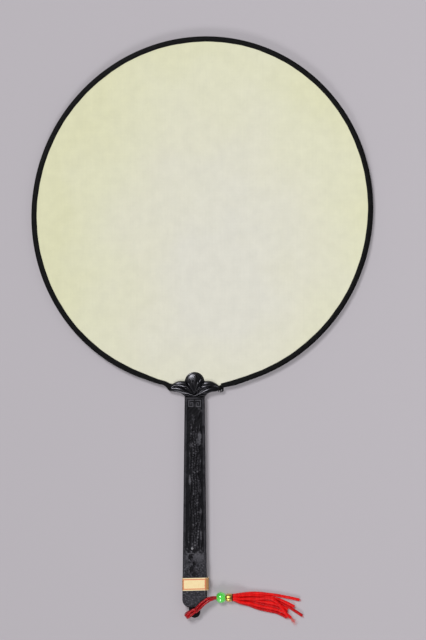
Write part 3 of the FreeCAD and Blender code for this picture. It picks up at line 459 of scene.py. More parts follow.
def tubeGrid(line, radius, sides, plies=0, plyDepth=0.0, pitch=1.0):
    # a round section carried along the line; its radius has one swell for each ply, turning once in each pitch
    far, across, over = alongLine(line)
    angle = np.linspace(0, fullTurn, sides + 1)
    swell = 1 + plyDepth * np.cos(plies * (angle[None, :] - fullTurn * far[:, None] / pitch))
    size = np.broadcast_to(np.asarray(radius, float).reshape(-1, 1), (len(far), 1)) * swell
    ring = across[:, None, :] * np.cos(angle)[None, :, None] + over[:, None, :] * np.sin(angle)[None, :, None]
    points = line[:, None, :] + ring * size[..., None]
    points[:, -1] = points[:, 0]
    uv = np.stack(np.broadcast_arrays(far[:, None], angle[None, :] / fullTurn), -1)
    return {"points": points, "uv": uv, "caps": True}


def fibreGrids(line, count, reach):
    # thin tapering tubes that fan out from the line's last section as a power of the way along, and stay over the floor
    heading = line[-1] - line[-3]
    heading /= np.linalg.norm(heading)
    t = np.linspace(0, 1, fray["steps"])[:, None]
    taper = fray["thick"] / 2 * np.linspace(1, fray["tip"], fray["steps"])
    grids = []
    for length in reach * seed.uniform(0.5, 1.0, count):
        spread = seed.normal(0, fray["spread"], 3) * np.array([1, 1, fray["spreadUp"]])
        foot = seed.normal(0, fray["foot"], 3) * np.array([1, 1, fray["footUp"]])
        path = line[-1] - heading * fray["inside"] + foot + heading * length * t + spread * length * t ** fray["curl"]
        path[:, 2] = np.maximum(path[:, 2], fray["lowest"])
        grids.append(tubeGrid(path, taper, fray["sides"]))
    return grids


def turnedPiece(name, profile, centre, material, twistAndShade=72):
    # a closed profile of (along, radius) turned about the cord's line
    profile = np.array(profile + profile[:1], float)
    angle = np.linspace(0, fullTurn, twistAndShade + 1)
    along, size = np.repeat(profile[:, :1], twistAndShade + 1, axis=1), profile[:, 1:2]
    points = np.stack([along, size * np.cos(angle), size * np.sin(angle)], -1) + np.array(centre)
    points[:, -1] = points[:, 0]
    return gridPiece(name, [{"points": points}], material)


# bead: a ball pierced along the cord, its bore's edges rolled over
bead = {"centre": (14.0, -203.2, 4.2), "radius": 4.1, "half": 3.35, "bore": 2.02, "roll": 0.3}
arc = np.linspace(-1, 1, 33) * math.asin(bead["half"] / bead["radius"]) * 0.97
outer = [(bead["radius"] * math.sin(a), bead["radius"] * math.cos(a)) for a in arc]
inner = [(x, bead["bore"] + bead["roll"] * (abs(x) / bead["half"]) ** 6)
         for x in np.linspace(bead["half"], -bead["half"], 13)]
greenBead = turnedPiece("greenBead", outer + inner, bead["centre"], beadMaterial())
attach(greenBead, "bead")
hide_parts("green_bead")

# cap: a small barrel with rolled lips, hollow behind its shoulder; its profile is (along, radius)
cap = {"start": (17.75, -203.2, 4.2), "twistAndShade": 96,
       "profile": [(0.0, 2.08), (0.0, 2.25), (0.08, 2.4), (0.25, 2.55), (0.6, 2.74), (1.0, 2.88), (1.5, 2.98),
                   (2.1, 3.03), (2.6, 3.03), (3.1, 3.0), (3.6, 2.94), (4.0, 2.87), (4.3, 2.81), (4.45, 2.78),
                   (4.45, 2.74), (4.2, 2.73), (3.2, 2.71), (2.02, 2.7), (2.0, 2.08), (1.0, 2.06)]}
goldCap = turnedPiece("goldCap", cap["profile"], cap["start"], giltMaterial(), cap["twistAndShade"])
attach(goldCap, "tassel")
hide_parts("gold_cap")

# whipping: one thread wound closely round the cord's ends inside the cap, a tube whose one ply turns once in each pitch
whipping = {"from": 19.75, "to": 21.35, "radius": 2.48, "sides": 48, "ridge": 0.045, "pitch": 0.4, "steps": 49,
            # its last turns, drawn in round the strands at the cap's mouth, in dark thread that also stands in for the
            # shade inside the mouth
            "lastAt": (22.32, 22.68), "lastRadius": 2.62, "lastThick": 0.44, "lastTurns": 60}
centreY, centreZ = cap["start"][1:]
core = np.linspace((whipping["from"], centreY, centreZ), (whipping["to"], centreY, centreZ), whipping["steps"])
roll = tubeGrid(core, whipping["radius"], whipping["sides"], 1, whipping["ridge"], whipping["pitch"])
woundRoll = gridPiece("woundRoll", [roll], cordDark)
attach(woundRoll, "tassel")
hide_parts("tassel_binding")
half = whipping["lastThick"] / 2
# the dark last turns are thread and also painted shade of the cap's hollow mouth
for count, at in enumerate(whipping["lastAt"]):
    ring = [(at + half * math.cos(a), whipping["lastRadius"] + half * math.sin(a))
            for a in np.linspace(0, fullTurn, 13)[:-1]]
    lastTurn = turnedPiece("whippingTurnMouthShade" + str(count + 1), ring, (0, centreY, centreZ), cordDark,
                           whipping["lastTurns"])
    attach(lastTurn, "tassel")
print("bead, cap and whipping ready")

for name, route in routes.items():
    line = splineLine(route)
    far = alongLine(line)[0]
    isCord = name == "cord"
    # the strands are drawn in where the cap holds them, and the cord is squashed wider where it bends over the lug
    if isCord:
        pieceName, finish, slot, thick = "redCord", cordRed, "cord", cordSizes["cordThick"]
        sx, sy, reach, more = cordSizes["squash"]
        fullness = 1 + more * np.exp(-np.hypot(line[:, 0] - sx, line[:, 1] - sy) ** 2 / reach ** 2)
    else:
        pieceName, slot, thick = name.replace("strand_", "tasselStrand"), "strand", cordSizes["strandThick"]
        # strands that lie underneath take the darker copy, as painted shade
        finish = strandPaintedShade if name in cordSizes["under"] else strandRed
        fullness = np.interp(far, *cordSizes["drawnIn"])
    tube = tubeGrid(line, thick / 2 * fullness, cordSizes["sides"], cordSizes["plies"], cordSizes["plyDepth"],
                    cordSizes["pitch"])
    piece = gridPiece(pieceName, [tube], finish)
    if isCord:
        onIt = [greenBead, goldCap, woundRoll]
        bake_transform(piece)
        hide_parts("cord_hitch", "cord_lead_upper", "cord_lead_lower")
    else:
        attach(piece, "tassel")
        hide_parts(name)
        fibres = fibreGrids(line, *fray["fringe"].get(name, fray["fibres"]))
        onIt = [gridPiece(name.replace("strand_", "frayedEnd"), fibres, frayRed)]
        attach(onIt[0], "tassel")

# faces: two sheets stretched over the hoop; the rim's oval in mm and its lean in degrees, the tape's width, thickness
# and ends, and the sheets' inner face from the middle plane
rim = {"long": 265.2, "short": 255.4, "lean": 19.8, "width": 4.1, "tape": 0.35, "gapLeft": -20.9, "gapRight": 14.4}
leaf = {"rings": 46, "around": 240, "thick": 0.3, "inner": 1.2,
        "waves": [(95, 0.16), (61, 0.12), (37, 0.06), (24, 0.03)]}
silk = silkMaterial()


def ovalPoint(t, inset):
    # the rim's oval at angle t, moved inwards by inset along its normal, and turned by its lean
    a, b = rim["long"] / 2, rim["short"] / 2
    turn = math.radians(90 - rim["lean"])
    x, y = a * np.cos(t), b * np.sin(t)
    nx, ny = b * np.cos(t), a * np.sin(t)
    size = np.hypot(nx, ny)
    x, y = x - inset * nx / size, y - inset * ny / size
    return x * math.cos(turn) - y * math.sin(turn), x * math.sin(turn) + y * math.cos(turn) + place["discY"]


def leafSheet(name, node, side):
    # from the middle out along the face, over the edge and back under it; the waves die out at the rim
    share = np.r_[np.linspace(0, 1, leaf["rings"]), np.linspace(1, 0, leaf["rings"])]
    angle = np.linspace(0, fullTurn, leaf["around"] + 1)
    edgeX, edgeY = ovalPoint(angle, rim["tape"])
    x = share[:, None] * edgeX[None, :]
    y = place["discY"] + share[:, None] * (edgeY - place["discY"])[None, :]
    height = leaf["inner"] + np.where(np.arange(len(share)) < leaf["rings"], leaf["thick"], 0.0)[:, None]
    height = height + smoothNoise(x, y, leaf["waves"]) * (1 - share[:, None] ** 4)
    z = place["middle"] + side * height
    z[[0, -1]] = z[[0, -1], :1]
    points = np.stack([x, y, z], -1)
    points[:, -1] = points[:, 0]
    piece = gridPiece(name, [{"points": points}], silk)
    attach(piece, "fan")
    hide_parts(node)


leafSheet("frontLeaf", "front_leaf", 1)
leafSheet("backLeaf", "back_leaf", -1)

# binding: tape folded over the rim, slightly crowned, open towards the middle
binding = {"steps": 900, "crown": 0.22, "face": 1.5,
           # front half of the fold from its inner edge to the rim: distance in from the rim, height over the face
           "inset": [4.1, 4.1, 3.9, 3.2, 2.4, 1.6, 0.9, 0.4, 0.12, 0.0],
           "over": [0.0, 0.30, 0.35, 0.35, 0.35, 0.35, 0.33, 0.2, -0.1, -0.5],
           # inside of the fold, from the back to the front: distance in, and height
           "insideInset": [3.0, 1.5, 0.6, 0.36, 0.36, 0.6, 1.5, 3.0, 4.1],
           "insideHeight": [-1.5, -1.5, -1.5, -1.2, 1.2, 1.5, 1.5, 1.5, 1.5],
           # how the inner edge wanders: height, length and phase of three sines
           "wander": [(0.05, 5.3, 0.0), (0.04, 2.1, 1.0), (0.05, 13.0, 2.0)], "edgeFrom": 3.5,
           # sag beside the crest: distance from the handle's middle, sag of the outer edge, sag of the inner edge
           "sagLeft": ([18.5, 19.4, 20.3, 21.0, 21.8, 22.6, 23.5, 27.5, 32, 37],
                       [3.9, 3.6, 2.9, 2.0, 1.15, 0.65, 0.45, 0.45, 0.25, 0],
                       [2.5, 2.1, 1.75, 1.5, 1.35, 1.25, 1.2, 1.1, 0.55, 0]),
           "sagRight": ([19.5, 21.5, 24, 26.5, 31, 36, 42],
                        [0.95, 0.95, 0.9, 0.9, 0.85, 0.4, 0],
                        [1.9, 1.65, 1.35, 1.1, 0.75, 0.35, 0])}


def bindingGrid():
    # a folded section of (inset, height) carried round the oval from one side of the crest to the other, then lowered
    # beside the crest by the sag
    t = np.linspace(0, fullTurn, 20001)
    t = t + t[np.argmin(ovalPoint(t, 0.0)[1])]
    x = ovalPoint(t, 0.0)[0]
    begin = t[np.argmax(x > rim["gapRight"])]
    end = t[len(x) - 1 - np.argmax(x[::-1] < rim["gapLeft"])]
    path = np.linspace(begin, end, binding["steps"])
    fold = np.array(binding["inset"])
    n = np.r_[fold, 0.0, fold[::-1], binding["insideInset"]]
    crown = np.sin(math.pi * np.clip(fold / rim["width"], 0, 1)) * binding["crown"]
    front = binding["face"] + np.array(binding["over"]) + crown
    h = np.r_[front, 0.0, -front[::-1], binding["insideHeight"]]
    px, py = ovalPoint(path, 0.0)
    far = np.r_[0, np.cumsum(np.hypot(np.diff(px), np.diff(py)))]
    wander = sum(high * np.sin(far / length + phase) for high, length, phase in binding["wander"])
    inset = n[None, :] + np.where(n > binding["edgeFrom"], 1.0, 0.0)[None, :] * wander[:, None]
    gx, gy = ovalPoint(path[:, None], inset)
    share = np.clip(inset / rim["width"], 0, 1)
    for way, (reach, outer, inner) in ((-1, binding["sagLeft"]), (1, binding["sagRight"])):
        off = way * (gx - place["handleX"])
        sag = np.interp(off, reach, outer) * (1 - share) + np.interp(off, reach, inner) * share
        gy = gy - sag * (off > 0) * (gy < 0)
    gz = place["middle"] + np.broadcast_to(h[None, :], gx.shape)
    girth = np.r_[0, np.cumsum(np.hypot(np.diff(n), np.diff(h)))]
    uv = np.stack(np.broadcast_arrays(far[:, None], girth[None, :]), -1)
    return {"points": np.stack([gx, gy, gz], -1), "uv": uv, "caps": True}


# threads that hang out of the tape's open right end: control points in mm
looseThreads = {"radius": 0.36, "sides": 8, "routes": [
    [(15.4, -43.6, 5.0), (13.6, -43.9, 5.7), (12.3, -45.2, 6.0), (11.3, -46.9, 5.6)],
    [(15.4, -44.2, 5.0), (13.9, -44.9, 6.0), (12.9, -46.6, 6.0), (12.3, -48.6, 4.6)],
    [(15.3, -44.8, 4.6), (14.4, -46.0, 5.6), (13.9, -47.6, 5.2), (13.7, -49.0, 4.0)],
    [(15.6, -44.6, 4.2), (14.9, -46.4, 5.2), (15.1, -47.8, 4.6), (14.8, -48.9, 4.0)],
    [(15.1, -43.4, 4.8), (13.0, -44.6, 6.3), (13.4, -46.2, 6.2), (11.8, -47.6, 5.2)],
    [(15.4, -44.3, 3.8), (14.0, -45.6, 5.4), (13.2, -47.9, 5.0), (14.3, -48.3, 4.2)],
    [(15.2, -45.2, 4.4), (14.0, -45.4, 6.2), (12.6, -45.8, 6.4), (11.0, -45.6, 6.0)],
    [(15.8, -45.4, 4.6), (15.6, -46.8, 5.0), (15.9, -47.6, 4.6), (15.2, -48.2, 4.2)]]}
loose = [tubeGrid(splineLine(route), looseThreads["radius"], looseThreads["sides"]) for route in looseThreads["routes"]]
edgeTape = gridPiece("edgeTape", [bindingGrid()] + loose, tapeMaterial())
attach(edgeTape, "fan")
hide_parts("edge_binding")
print("faces and binding ready")


def leafBump(x, y, start, end, wide, high, bend=0.0, veins=0.0, vein=1.1):
    # a leaf between two points: half round across, pointed at both ends, bowed sideways by bend, notched by veins
    dx, dy = end[0] - start[0], end[1] - start[1]
    length = math.hypot(dx, dy)
    along = ((x - start[0]) * dx + (y - start[1]) * dy) / length
    share = np.clip(along / length, 0, 1)
    off = (-(x - start[0]) * dy + (y - start[1]) * dx) / length - 4 * bend * share * (1 - share)
    half = wide / 2 * np.sin(math.pi * share ** 0.8) + 1e-6
    body = np.sqrt(np.clip(1 - (off / half) ** 2, 0, None))
    notch = 1 - veins * (0.5 - 0.5 * np.cos(fullTurn * (along - 1.1 * np.abs(off)) / vein))
    return np.where((along > 0) & (along < length), high * body * notch, 0.0)


def seamRidge(x, y, start, end, wide, high):
    # a thin rounded ridge along a straight line, falling off as a bell on both sides
    dx, dy = end[0] - start[0], end[1] - start[1]
    share = np.clip(((x - start[0]) * dx + (y - start[1]) * dy) / (dx * dx + dy * dy), 0, 1)
    return high * np.exp(-((x - start[0] - share * dx) ** 2 + (y - start[1] - share * dy) ** 2) / (wide / 2) ** 2)


def eased(x, places, values):
    # a curve through given values: cubic between neighbours, with the slope at each one taken from both sides
    places, values = np.array(places, float), np.array(values, float)
    slope = np.gradient(values, places)
    left = np.clip(np.searchsorted(places, x) - 1, 0, len(places) - 2)
    step = places[left + 1] - places[left]
    t = np.clip((x - places[left]) / step, 0, 1)
    ends = values[left] * (1 + 2 * t) * (1 - t) ** 2 + values[left + 1] * (3 - 2 * t) * t ** 2
    return ends + step * t * (1 - t) * (slope[left] * (1 - t) - slope[left + 1] * t)


# crest: heights over its outline, mirrored for the back
crest = {"half": 18.4, "columns": 301, "rows": 151, "round": 0.8, "side": 1.35, "plate": 2.0, "level": 3.97,
         # outline of the wings, as distances from the middle and heights up the crest
         "brow": ([7.0, 9.0, 11.0, 12.3, 13.5, 14.7, 15.7, 16.6, 17.4, 18.0, 18.4],
                  [5.6, 5.65, 5.6, 5.4, 5.0, 4.4, 3.85, 3.25, 2.6, 1.95, 1.2]),
         "chin": ([7.3, 7.6, 8.1, 8.8, 9.6, 10.5, 11.5, 12.7, 14.0, 15.2, 16.2, 17.0, 17.6, 18.1, 18.4],
                  [-6.6, -6.2, -5.65, -4.95, -4.3, -3.75, -3.3, -2.97, -2.75, -2.6, -2.42, -2.1, -1.6, -0.8, 0.1]),
         # wings: height of the ridge, place of the ridge and half width, each by the distance from the middle
         "upperWing": (([4, 9, 13, 18.4], [3.3, 3.8, 3.5, 2.2]),
                       ([5, 8, 11, 14.5, 16.5, 18.4], [2.8, 2.95, 3.3, 3.05, 2.1, 1.0]),
                       ([5, 8, 11, 14.5, 18.4], [2.7, 2.6, 2.25, 1.5, 0.9])),
         "lowerWing": (([0, 6, 10, 14, 18.4], [3.2, 3.6, 3.7, 3.2, 2.2]),
                       ([0, 6.3, 9, 12.5, 16, 18.4], [-5.6, -2.9, -1.7, -0.7, -0.6, -0.4]),
                       ([0, 3, 6.3, 9, 12.5, 16, 18.4], [0.8, 1.0, 1.5, 1.85, 1.7, 1.4, 1.0])), "lowerSpread": 0.4,
         # collar on the handle: half length, height, place, how it bows, half width
         "collar": (7.6, 0.9, -6.15, 0.05, 0.3),
         # bud: its middle, radius and foot, heights of its edge and its dome, a groove by depth, place and width
         "budY": 4.85, "budRadius": 7.5, "footY": -4.4, "drawnIn": 0.72, "budEdge": 1.2, "budDome": 2.3,
         "groove": (0.3, 0.9, 0.045), "petalFade": 0.12, "seamWide": 0.7, "seamHigh": 0.34,
         # petals: foot, tip, width, height, bend; seams: both ends
         "petals": [((0.1, -4.5), (0.8, 9.9), 4.3, 0.3, 0.0), ((-0.3, -4.4), (-3.9, 7.4), 3.9, 0.28, 0.5),
                    ((0.3, -4.4), (4.9, 7.2), 3.9, 0.28, -0.5), ((-0.8, -4.2), (-6.5, 2.8), 2.7, 0.4, 0.7),
                    ((0.8, -4.2), (6.7, 3.0), 2.7, 0.4, -0.7)],
         "seams": [((0.0, -4.3), (-1.9, 5.0)), ((-1.9, 5.0), (0.8, 9.7)), ((0.2, -4.3), (2.8, 5.0)),
                   ((2.8, 5.0), (0.8, 9.7)), ((0.0, -4.4), (-5.0, 3.4)), ((0.2, -4.4), (6.0, 3.7))]}


def wingHeight(out, y, wing, spread=0.0):
    # half round across its ridge, and wider on the lower side by the spread, which comes in between 5 and 8 mm out
    top, ridge, half = [eased(out, *table) for table in wing]
    across = (y - ridge) / half
    across = np.where(across < 0, across / (1 + spread * np.clip((out - 5) / 3, 0, 1)), across)
    return crest["plate"] + (top - crest["plate"]) * np.sqrt(np.clip(1 - across ** 2, 0, None))


def crestGrid(side):
    # columns across the crest, each from its lower outline to its upper one, with the height worked out at every point
    x = np.linspace(-crest["half"], crest["half"], crest["columns"])[:, None]
    out = np.abs(x)
    r, mid, foot = crest["budRadius"], crest["budY"], crest["footY"]
    dome = mid + np.sqrt(np.clip(r ** 2 - out ** 2, 0, None))
    brow = eased(out, *crest["brow"])
    high = np.where(out < r, np.maximum(dome, brow), brow)
    low = eased(out, *crest["chin"])
    y = low + (high - low) * np.linspace(0, 1, crest["rows"])[None, :]
    out = np.broadcast_to(out, y.shape)
    wide = np.broadcast_to(x, y.shape)
    # wings: a broad upper lobe and a lower one that runs on as a V under the bud
    upper = wingHeight(out, y, crest["upperWing"])
    lower = wingHeight(out, y, crest["lowerWing"], crest["lowerSpread"])
    z = np.maximum(np.maximum(upper, lower), crest["plate"])
    # collar: a thin welt along the top of the handle, a bell across
    reach, tall, at, bow, half = crest["collar"]
    welt = crest["plate"] + tall * np.exp(-((y - at - bow * out) / half) ** 2)
    z = np.maximum(z, np.where(out < reach, welt, 0))
    # bud: a dome, round above its middle and drawn in to the foot below it, with a groove inside its edge, petals from
    # the foot and seams along their edges
    taper = r * np.clip((y - foot) / (mid - foot), 1e-4, 1) ** crest["drawnIn"]
    near = np.where(y > mid, np.hypot(wide, y - mid) / r, out / taper)
    deep, grooveAt, grooveWide = crest["groove"]
    bud = crest["budEdge"] + crest["budDome"] * np.sqrt(np.clip(1 - near ** 2, 0, None))
    bud = bud - deep * np.exp(-((near - grooveAt) / grooveWide) ** 2)
    inBud = np.clip((grooveAt - near) / crest["petalFade"], 0, 1)
    petals = np.max([leafBump(wide, y, *petal) for petal in crest["petals"]], axis=0)
    seams = np.max([seamRidge(wide, y, *seam, crest["seamWide"], crest["seamHigh"]) for seam in crest["seams"]], axis=0)
    z = np.where((near < 1) & (y > foot), np.minimum(bud + (petals + seams) * inBud, crest["level"]), z)
    # rounded along the outline
    edge = np.minimum(np.minimum(high - y, y - low), crest["half"] - out)
    z = crest["side"] + (z - crest["side"]) * np.sqrt(1 - (1 - np.clip(edge / crest["round"], 0, 1)) ** 2)
    under, over = [np.stack([x[:, 0], line[:, 0], 0 * x[:, 0]], -1)[:, None] for line in (low, high)]
    points = np.concatenate([under, np.stack([wide, y, z], -1), over, under], axis=1)
    return {"points": points * (1, 1, side) + handleFrame, "caps": True}


for name, node, side in (("crestFront", "crest_front", 1), ("crestBack", "crest_back", -1)):
    piece = gridPiece(name, [crestGrid(side)], polished)
    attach(piece, "fan")
    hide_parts(node)
print("crest ready")

# relief in the handle's sunk panel: a key fret, then long leaves beside a beaded braid, and a pearl
relief = {"top": -8.05, "end": -141.1, "stations": 700, "across": 64, "floor": 3.03, "under": 2.8, "level": 3.95,
          # the panel's half width: the handle's at its top, how much that grows and over what length, less rail and gap
          "half": 7.5, "grows": 1.7, "growsFrom": -6.8, "growsOver": 151.4, "rail": 1.9, "gap": 0.02,
          # bars of the left half of the fret: left, right, bottom, top
          "fret": [(-4.7, -0.35, -9.2, -8.5), (-4.7, -4.05, -13.9, -8.5), (-4.7, -0.95, -13.9, -13.25),
                   (-1.6, -0.95, -13.9, -10.3), (-3.15, -0.95, -10.95, -10.3), (-3.15, -2.5, -12.3, -10.3)],
          "fretHeight": 0.9, "fretSlope": 0.3,
          # leaves: foot, tip, width, height, bend, depth of the veins, their spacing
          "leaves": [((3.1, -45.0), (3.6, -26.2), 3.7, 0.66, -0.3, 0.12, 1.7),
                     ((-2.9, -44.6), (-2.6, -40.2), 2.9, 0.68, 0.2, 0.0, 1.0),
                     ((-0.9, -26.4), (-0.4, -20.8), 3.2, 0.5, 0.2, 0.0, 1.0),
                     ((2.6, -22.5), (4.3, -16.6), 2.0, 0.4, 0.2, 0.2, 1.1),
                     ((-3.6, -47.0), (-3.9, -61.0), 2.6, 0.6, 0.3, 0.35, 1.3),
                     ((3.7, -63.0), (4.2, -49.0), 2.2, 0.56, -0.3, 0.3, 1.3),
                     ((-3.9, -65.0), (-3.4, -80.0), 2.8, 0.6, 0.4, 0.35, 1.2),
                     ((4.3, -82.0), (3.9, -67.0), 2.3, 0.6, -0.2, 0.3, 1.4),
                     ((-4.3, -84.0), (-3.6, -99.0), 2.6, 0.6, 0.3, 0.35, 1.3),
                     ((4.4, -101.0), (4.1, -86.0), 2.4, 0.58, -0.3, 0.3, 1.2),
                     ((-4.4, -117.0), (-3.9, -103.0), 2.5, 0.58, 0.3, 0.3, 1.3),
                     ((4.3, -120.0), (4.6, -105.0), 2.6, 0.6, -0.3, 0.25, 1.3)], "leafShare": 0.86,
          # beads of the braid: radius, height, spacing, columns, where it begins and ends, and how unevenly it is worn
          "bead": 1.08, "beadHeight": 0.62, "pitch": 2.35, "columns": (-1.9, 0.0, 1.9), "braid": (-28.0, -121.0),
          "uneven": [(9, 0.25), (5.3, 0.25), (3.1, 0.2)],
          # the braid's sway by place, reach and length, its one bow to the left by reach, place and half length, and the
          # height of the tool marks on the ground
          "sway": (0.7, 0.5, 27), "bow": (0.9, -36, 9), "marks": 0.05,
          # lower end, worn level: where that begins, its length, and how far to the side counts as much as that length;
          # its height, its ragged edge, and hollows by middle, half width and half length
          "worn": (-121.5, 7, 14), "wornHeight": 0.8, "ragged": [(4.1, 0.16), (2.6, 0.14), (1.7, 0.1)],
          "hollows": [(-3.0, -126.3, 1.5, 1.9), (-0.4, -131.0, 0.9, 2.2), (-2.2, -135.4, 1.5, 2.6),
                      (-0.2, -139.0, 1.6, 1.6)], "hollowSize": 1.15, "hollowSlope": 0.35,
          # pearl: its middle and radius
          "pearl": (-1.8, -119.9, 1.1), "pearlSteps": 10, "pearlSides": 24}


def reliefGrid(side):
    # rows down the panel and points across it; each height is the highest of the carved forms there
    y = np.linspace(relief["top"], relief["end"], relief["stations"])[:, None]
    grown = relief["grows"] * (relief["growsFrom"] - y) / relief["growsOver"]
    half = relief["half"] + grown - relief["rail"] - relief["gap"]
    x = half * np.linspace(-1, 1, relief["across"])[None, :]
    y = np.broadcast_to(y, x.shape)
    # ground: low tool marks
    z = relief["marks"] * np.sin(x * 2.9 + 1.3 * np.sin(y * 1.1)) * np.sin(y * 2.3 + x) + relief["marks"]
    for stem in relief["leaves"]:
        z = np.maximum(z, relief["leafShare"] * leafBump(x, y, *stem))
    # braid: columns of round beads that sway together down the panel, every other column half a bead lower
    at, reach, length = relief["sway"]
    bow, bowAt, bowHalf = relief["bow"]
    sway = at + reach * np.sin(fullTurn * y / length) - bow * np.exp(-((y - bowAt) / bowHalf) ** 2)
    begin, end = relief["braid"]
    inBraid = np.clip((begin - y) / 2, 0, 1) * np.clip((y - end) / 2, 0, 1)
    inBraid = inBraid * np.clip(0.75 + smoothNoise(x, y, relief["uneven"]), 0.15, 1)
    for count, column in enumerate(relief["columns"]):
        down = np.mod(y + count * relief["pitch"] / 2, relief["pitch"]) - relief["pitch"] / 2
        ball = np.sqrt(np.clip(1 - ((x - sway - column) ** 2 + down ** 2) / relief["bead"] ** 2, 0, None))
        z = np.maximum(z, inBraid * ball * relief["beadHeight"])
    # fret: bars with sloped sides, and their mirror image
    out = np.abs(x)
    inBar = [np.minimum(np.minimum(-out - left, right + out), np.minimum(y - bottom, top - y))
             for left, right, bottom, top in relief["fret"]]
    bars = np.max(np.clip(np.array(inBar) / relief["fretSlope"] + 0.5, 0, 1), axis=0)
    z = np.maximum(z, relief["fretHeight"] * bars)
    # lower end: rubbed down nearly level, but for ragged hollows
    ragged = smoothNoise(x, y, relief["ragged"])
    hollow = np.max([relief["hollowSize"] - np.hypot((x - hx) / wide, (y - hy) / tall)
                     for hx, hy, wide, tall in relief["hollows"]], axis=0)
    wornFrom, wornOver, sooner = relief["worn"]
    flat = np.clip((wornFrom - y) / wornOver + ragged + out / sooner, 0, 1)
    flat = flat * (1 - np.clip((hollow + ragged) / relief["hollowSlope"], 0, 1))
    z = np.maximum(z, relief["wornHeight"] * np.clip(flat * 2 - 0.5, 0, 1))
    z = np.minimum(relief["floor"] + z, relief["level"])
    left, right = [np.stack([column, y[:, 0], np.full(len(column), relief["under"])], -1)[:, None]
                   for column in (x[:, 0], x[:, -1])]
    points = np.concatenate([left, np.stack([x, y, z], -1), right, left], axis=1)
    return {"points": points * (1, 1, side) + handleFrame, "caps": True}


def pearlGrid(side):
    # a dome whose radius falls as a quarter circle as it rises
    px, py, size = relief["pearl"]
    rise = np.sin(np.linspace(0, math.pi / 2, relief["pearlSteps"]))
    height = side * (relief["under"] + (relief["level"] - relief["under"]) * rise)
    line = np.column_stack([np.full(len(rise), px), np.full(len(rise), py), height]) + handleFrame
    return tubeGrid(line, size * np.sqrt(1 - rise ** 2) + 0.02, relief["pearlSides"])


for name, side in (("reliefFront", 1), ("reliefBack", -1)):
    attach(gridPiece(name, [reliefGrid(side)], carved), "fan")
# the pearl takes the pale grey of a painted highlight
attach(gridPiece("reliefPearl", [pearlGrid(1), pearlGrid(-1)], pearlPaintedHighlight), "fan")
print("relief ready")

# label: a strip gummed over the front and on to both flanks, a little askew, its upper right corner lifting
label = {"top": -187.8, "bottom": -197.3, "thick": 0.2, "tilt": math.tan(math.radians(1.3)), "lift": 0.9,
         "frameWidth": 16.6, "frameHeight": 7.3, "frameX": -0.95, "halfHeight": 4.75, "foldAt": 8.7,
         "stations": 96, "rows": 25,
         # lifted corner: where it begins and over what length it rises, along the strip and up it, and where it folds
         "corner": ((5.0, 4), (1.5, 3.5), 9.6),
         # its section round the handle: across and up from the handle's middle
         "path": [(-9.32, -2.0), (-9.32, 2.9), (-9.27, 3.25), (-9.1, 3.55), (-8.7, 3.98), (-8.4, 4.17), (-8.0, 4.25),
                  (8.0, 4.25), (8.6, 4.25), (9.3, 4.2), (9.9, 3.95), (10.4, 3.5), (10.6, 2.8), (10.5, 1.8), (10.1, 0.4),
                  (9.6, -1.0), (9.35, -2.0)]}


def labelGrid():
    # the section carried up the handle as an outer face and an inner one, with the lift added at one corner
    path = np.array(label["path"])
    far = np.r_[0, np.cumsum(np.hypot(*np.diff(path, axis=0).T))]
    station = np.unique(np.r_[np.linspace(0, far[-1], label["stations"]), far])
    path = np.stack([np.interp(station, far, path[:, 0]), np.interp(station, far, path[:, 1])], -1)
    turn = np.gradient(path, axis=0)
    turn /= np.linalg.norm(turn, axis=1)[:, None]
    inner = path - label["thick"] * np.stack([-turn[:, 1], turn[:, 0]], -1)
    rows = np.linspace(label["bottom"], label["top"], label["rows"])
    faces = []
    for line, order in ((path, rows), (inner, rows[::-1])):
        across, up = line[:, :1], line[:, 1:]
        faces.append(np.stack(np.broadcast_arrays(across, order + across * label["tilt"], up), -1))
    points = np.concatenate([faces[0], faces[1], faces[0][:, :1]], axis=1)
    onStrip = (station - station[-1] / 2)[:, None]
    upStrip = np.r_[rows, rows[::-1], rows[:1]][None, :] - (label["top"] + label["bottom"]) / 2
    (fromX, overX), (fromY, overY), folds = label["corner"]
    corner = np.clip((onStrip - fromX) / overX, 0, 1) ** 2 * np.clip((upStrip - fromY) / overY, 0, 1) ** 2
    points[..., 2] += label["lift"] * (corner * (onStrip < folds))
    uv = np.stack(np.broadcast_arrays(onStrip - label["frameX"], upStrip), -1)
    return {"points": points + (place["handleX"], 0, place["middle"]), "uv": uv, "caps": True}


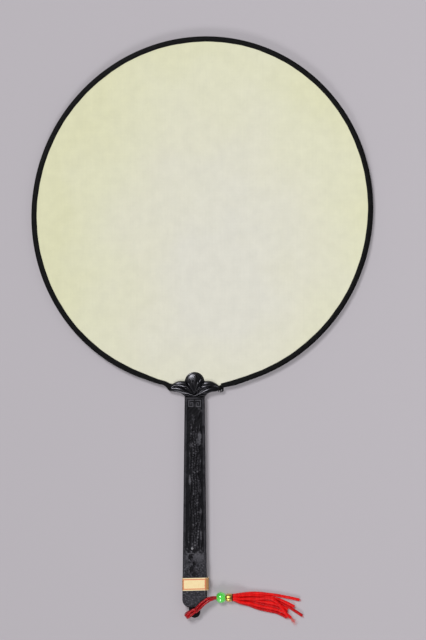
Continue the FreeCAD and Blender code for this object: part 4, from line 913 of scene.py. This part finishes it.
paperLabel = gridPiece("paperLabel", [labelGrid()], labelMaterial(label))
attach(paperLabel, "fan")
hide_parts("paper_label")
print("label ready")

# floor: plain studio paper, just under the fan
ground = {"half": 3, "level": -0.1 * mm, "colour": "#BBB6BC", "roughness": 0.9}
corners = [(x * ground["half"], y * ground["half"], ground["level"]) for x, y in ((-1, -1), (1, -1), (1, 1), (-1, 1))]
floor = bpy.data.objects.new("floor", bpy.data.meshes.new("floor"))
floor.data.from_pydata(corners, [], [(0, 1, 2, 3)])
scene.collection.objects.link(floor)
paper, _, paperShader = newMaterial("studio_paper")
fillSockets(paperShader, {"Base Color": linear(ground["colour"]), "Roughness": ground["roughness"]})
floor.data.materials.append(paper)

# two soft keys from the left, and a fill from the right that throws no shadow, all turned to the fan; metres and watts
lamps = {
    "topLamp": {"at": (-1.0, 1.5, 3.0), "size": 0.95, "power": 59.0, "key": True},
    "lowLamp": {"at": (-0.6, -2.6, 2.1), "size": 0.95, "power": 33.0, "key": True},
    "fillLamp": {"at": (1.0, 0.1, 1.2), "size": 1.0, "power": 9.3, "key": False},
}
for name, lamp in lamps.items():
    light = bpy.data.lights.new(name, "AREA")
    light.shape = "SQUARE"
    light.size = lamp["size"]
    light.energy = lamp["power"]
    light.use_shadow = lamp["key"]
    holder = bpy.data.objects.new(name, light)
    holder.location = lamp["at"]
    away = np.array(lamp["at"]) / np.linalg.norm(lamp["at"])
    holder.rotation_euler = (math.acos(away[2]), 0, math.atan2(away[0], -away[1]))
    holder.visible_glossy = lamp["key"]
    scene.collection.objects.link(holder)

# the room gives a dim fill, and is dark where shiny things mirror it
room = {"fill": 0.15, "mirrored": 0.04}
world = bpy.data.worlds.new("room")
scene.world = world
world.use_nodes = True
rays = addNode(world.node_tree, "LightPath", out="Is Glossy Ray")
fill = addNode(world.node_tree, "MapRange", {"Value": rays, "To Min": room["fill"], "To Max": room["mirrored"]})
fillSockets(world.node_tree.nodes["Background"], {"Color": linear("#FFFFFF"), "Strength": fill})
print("stage ready")
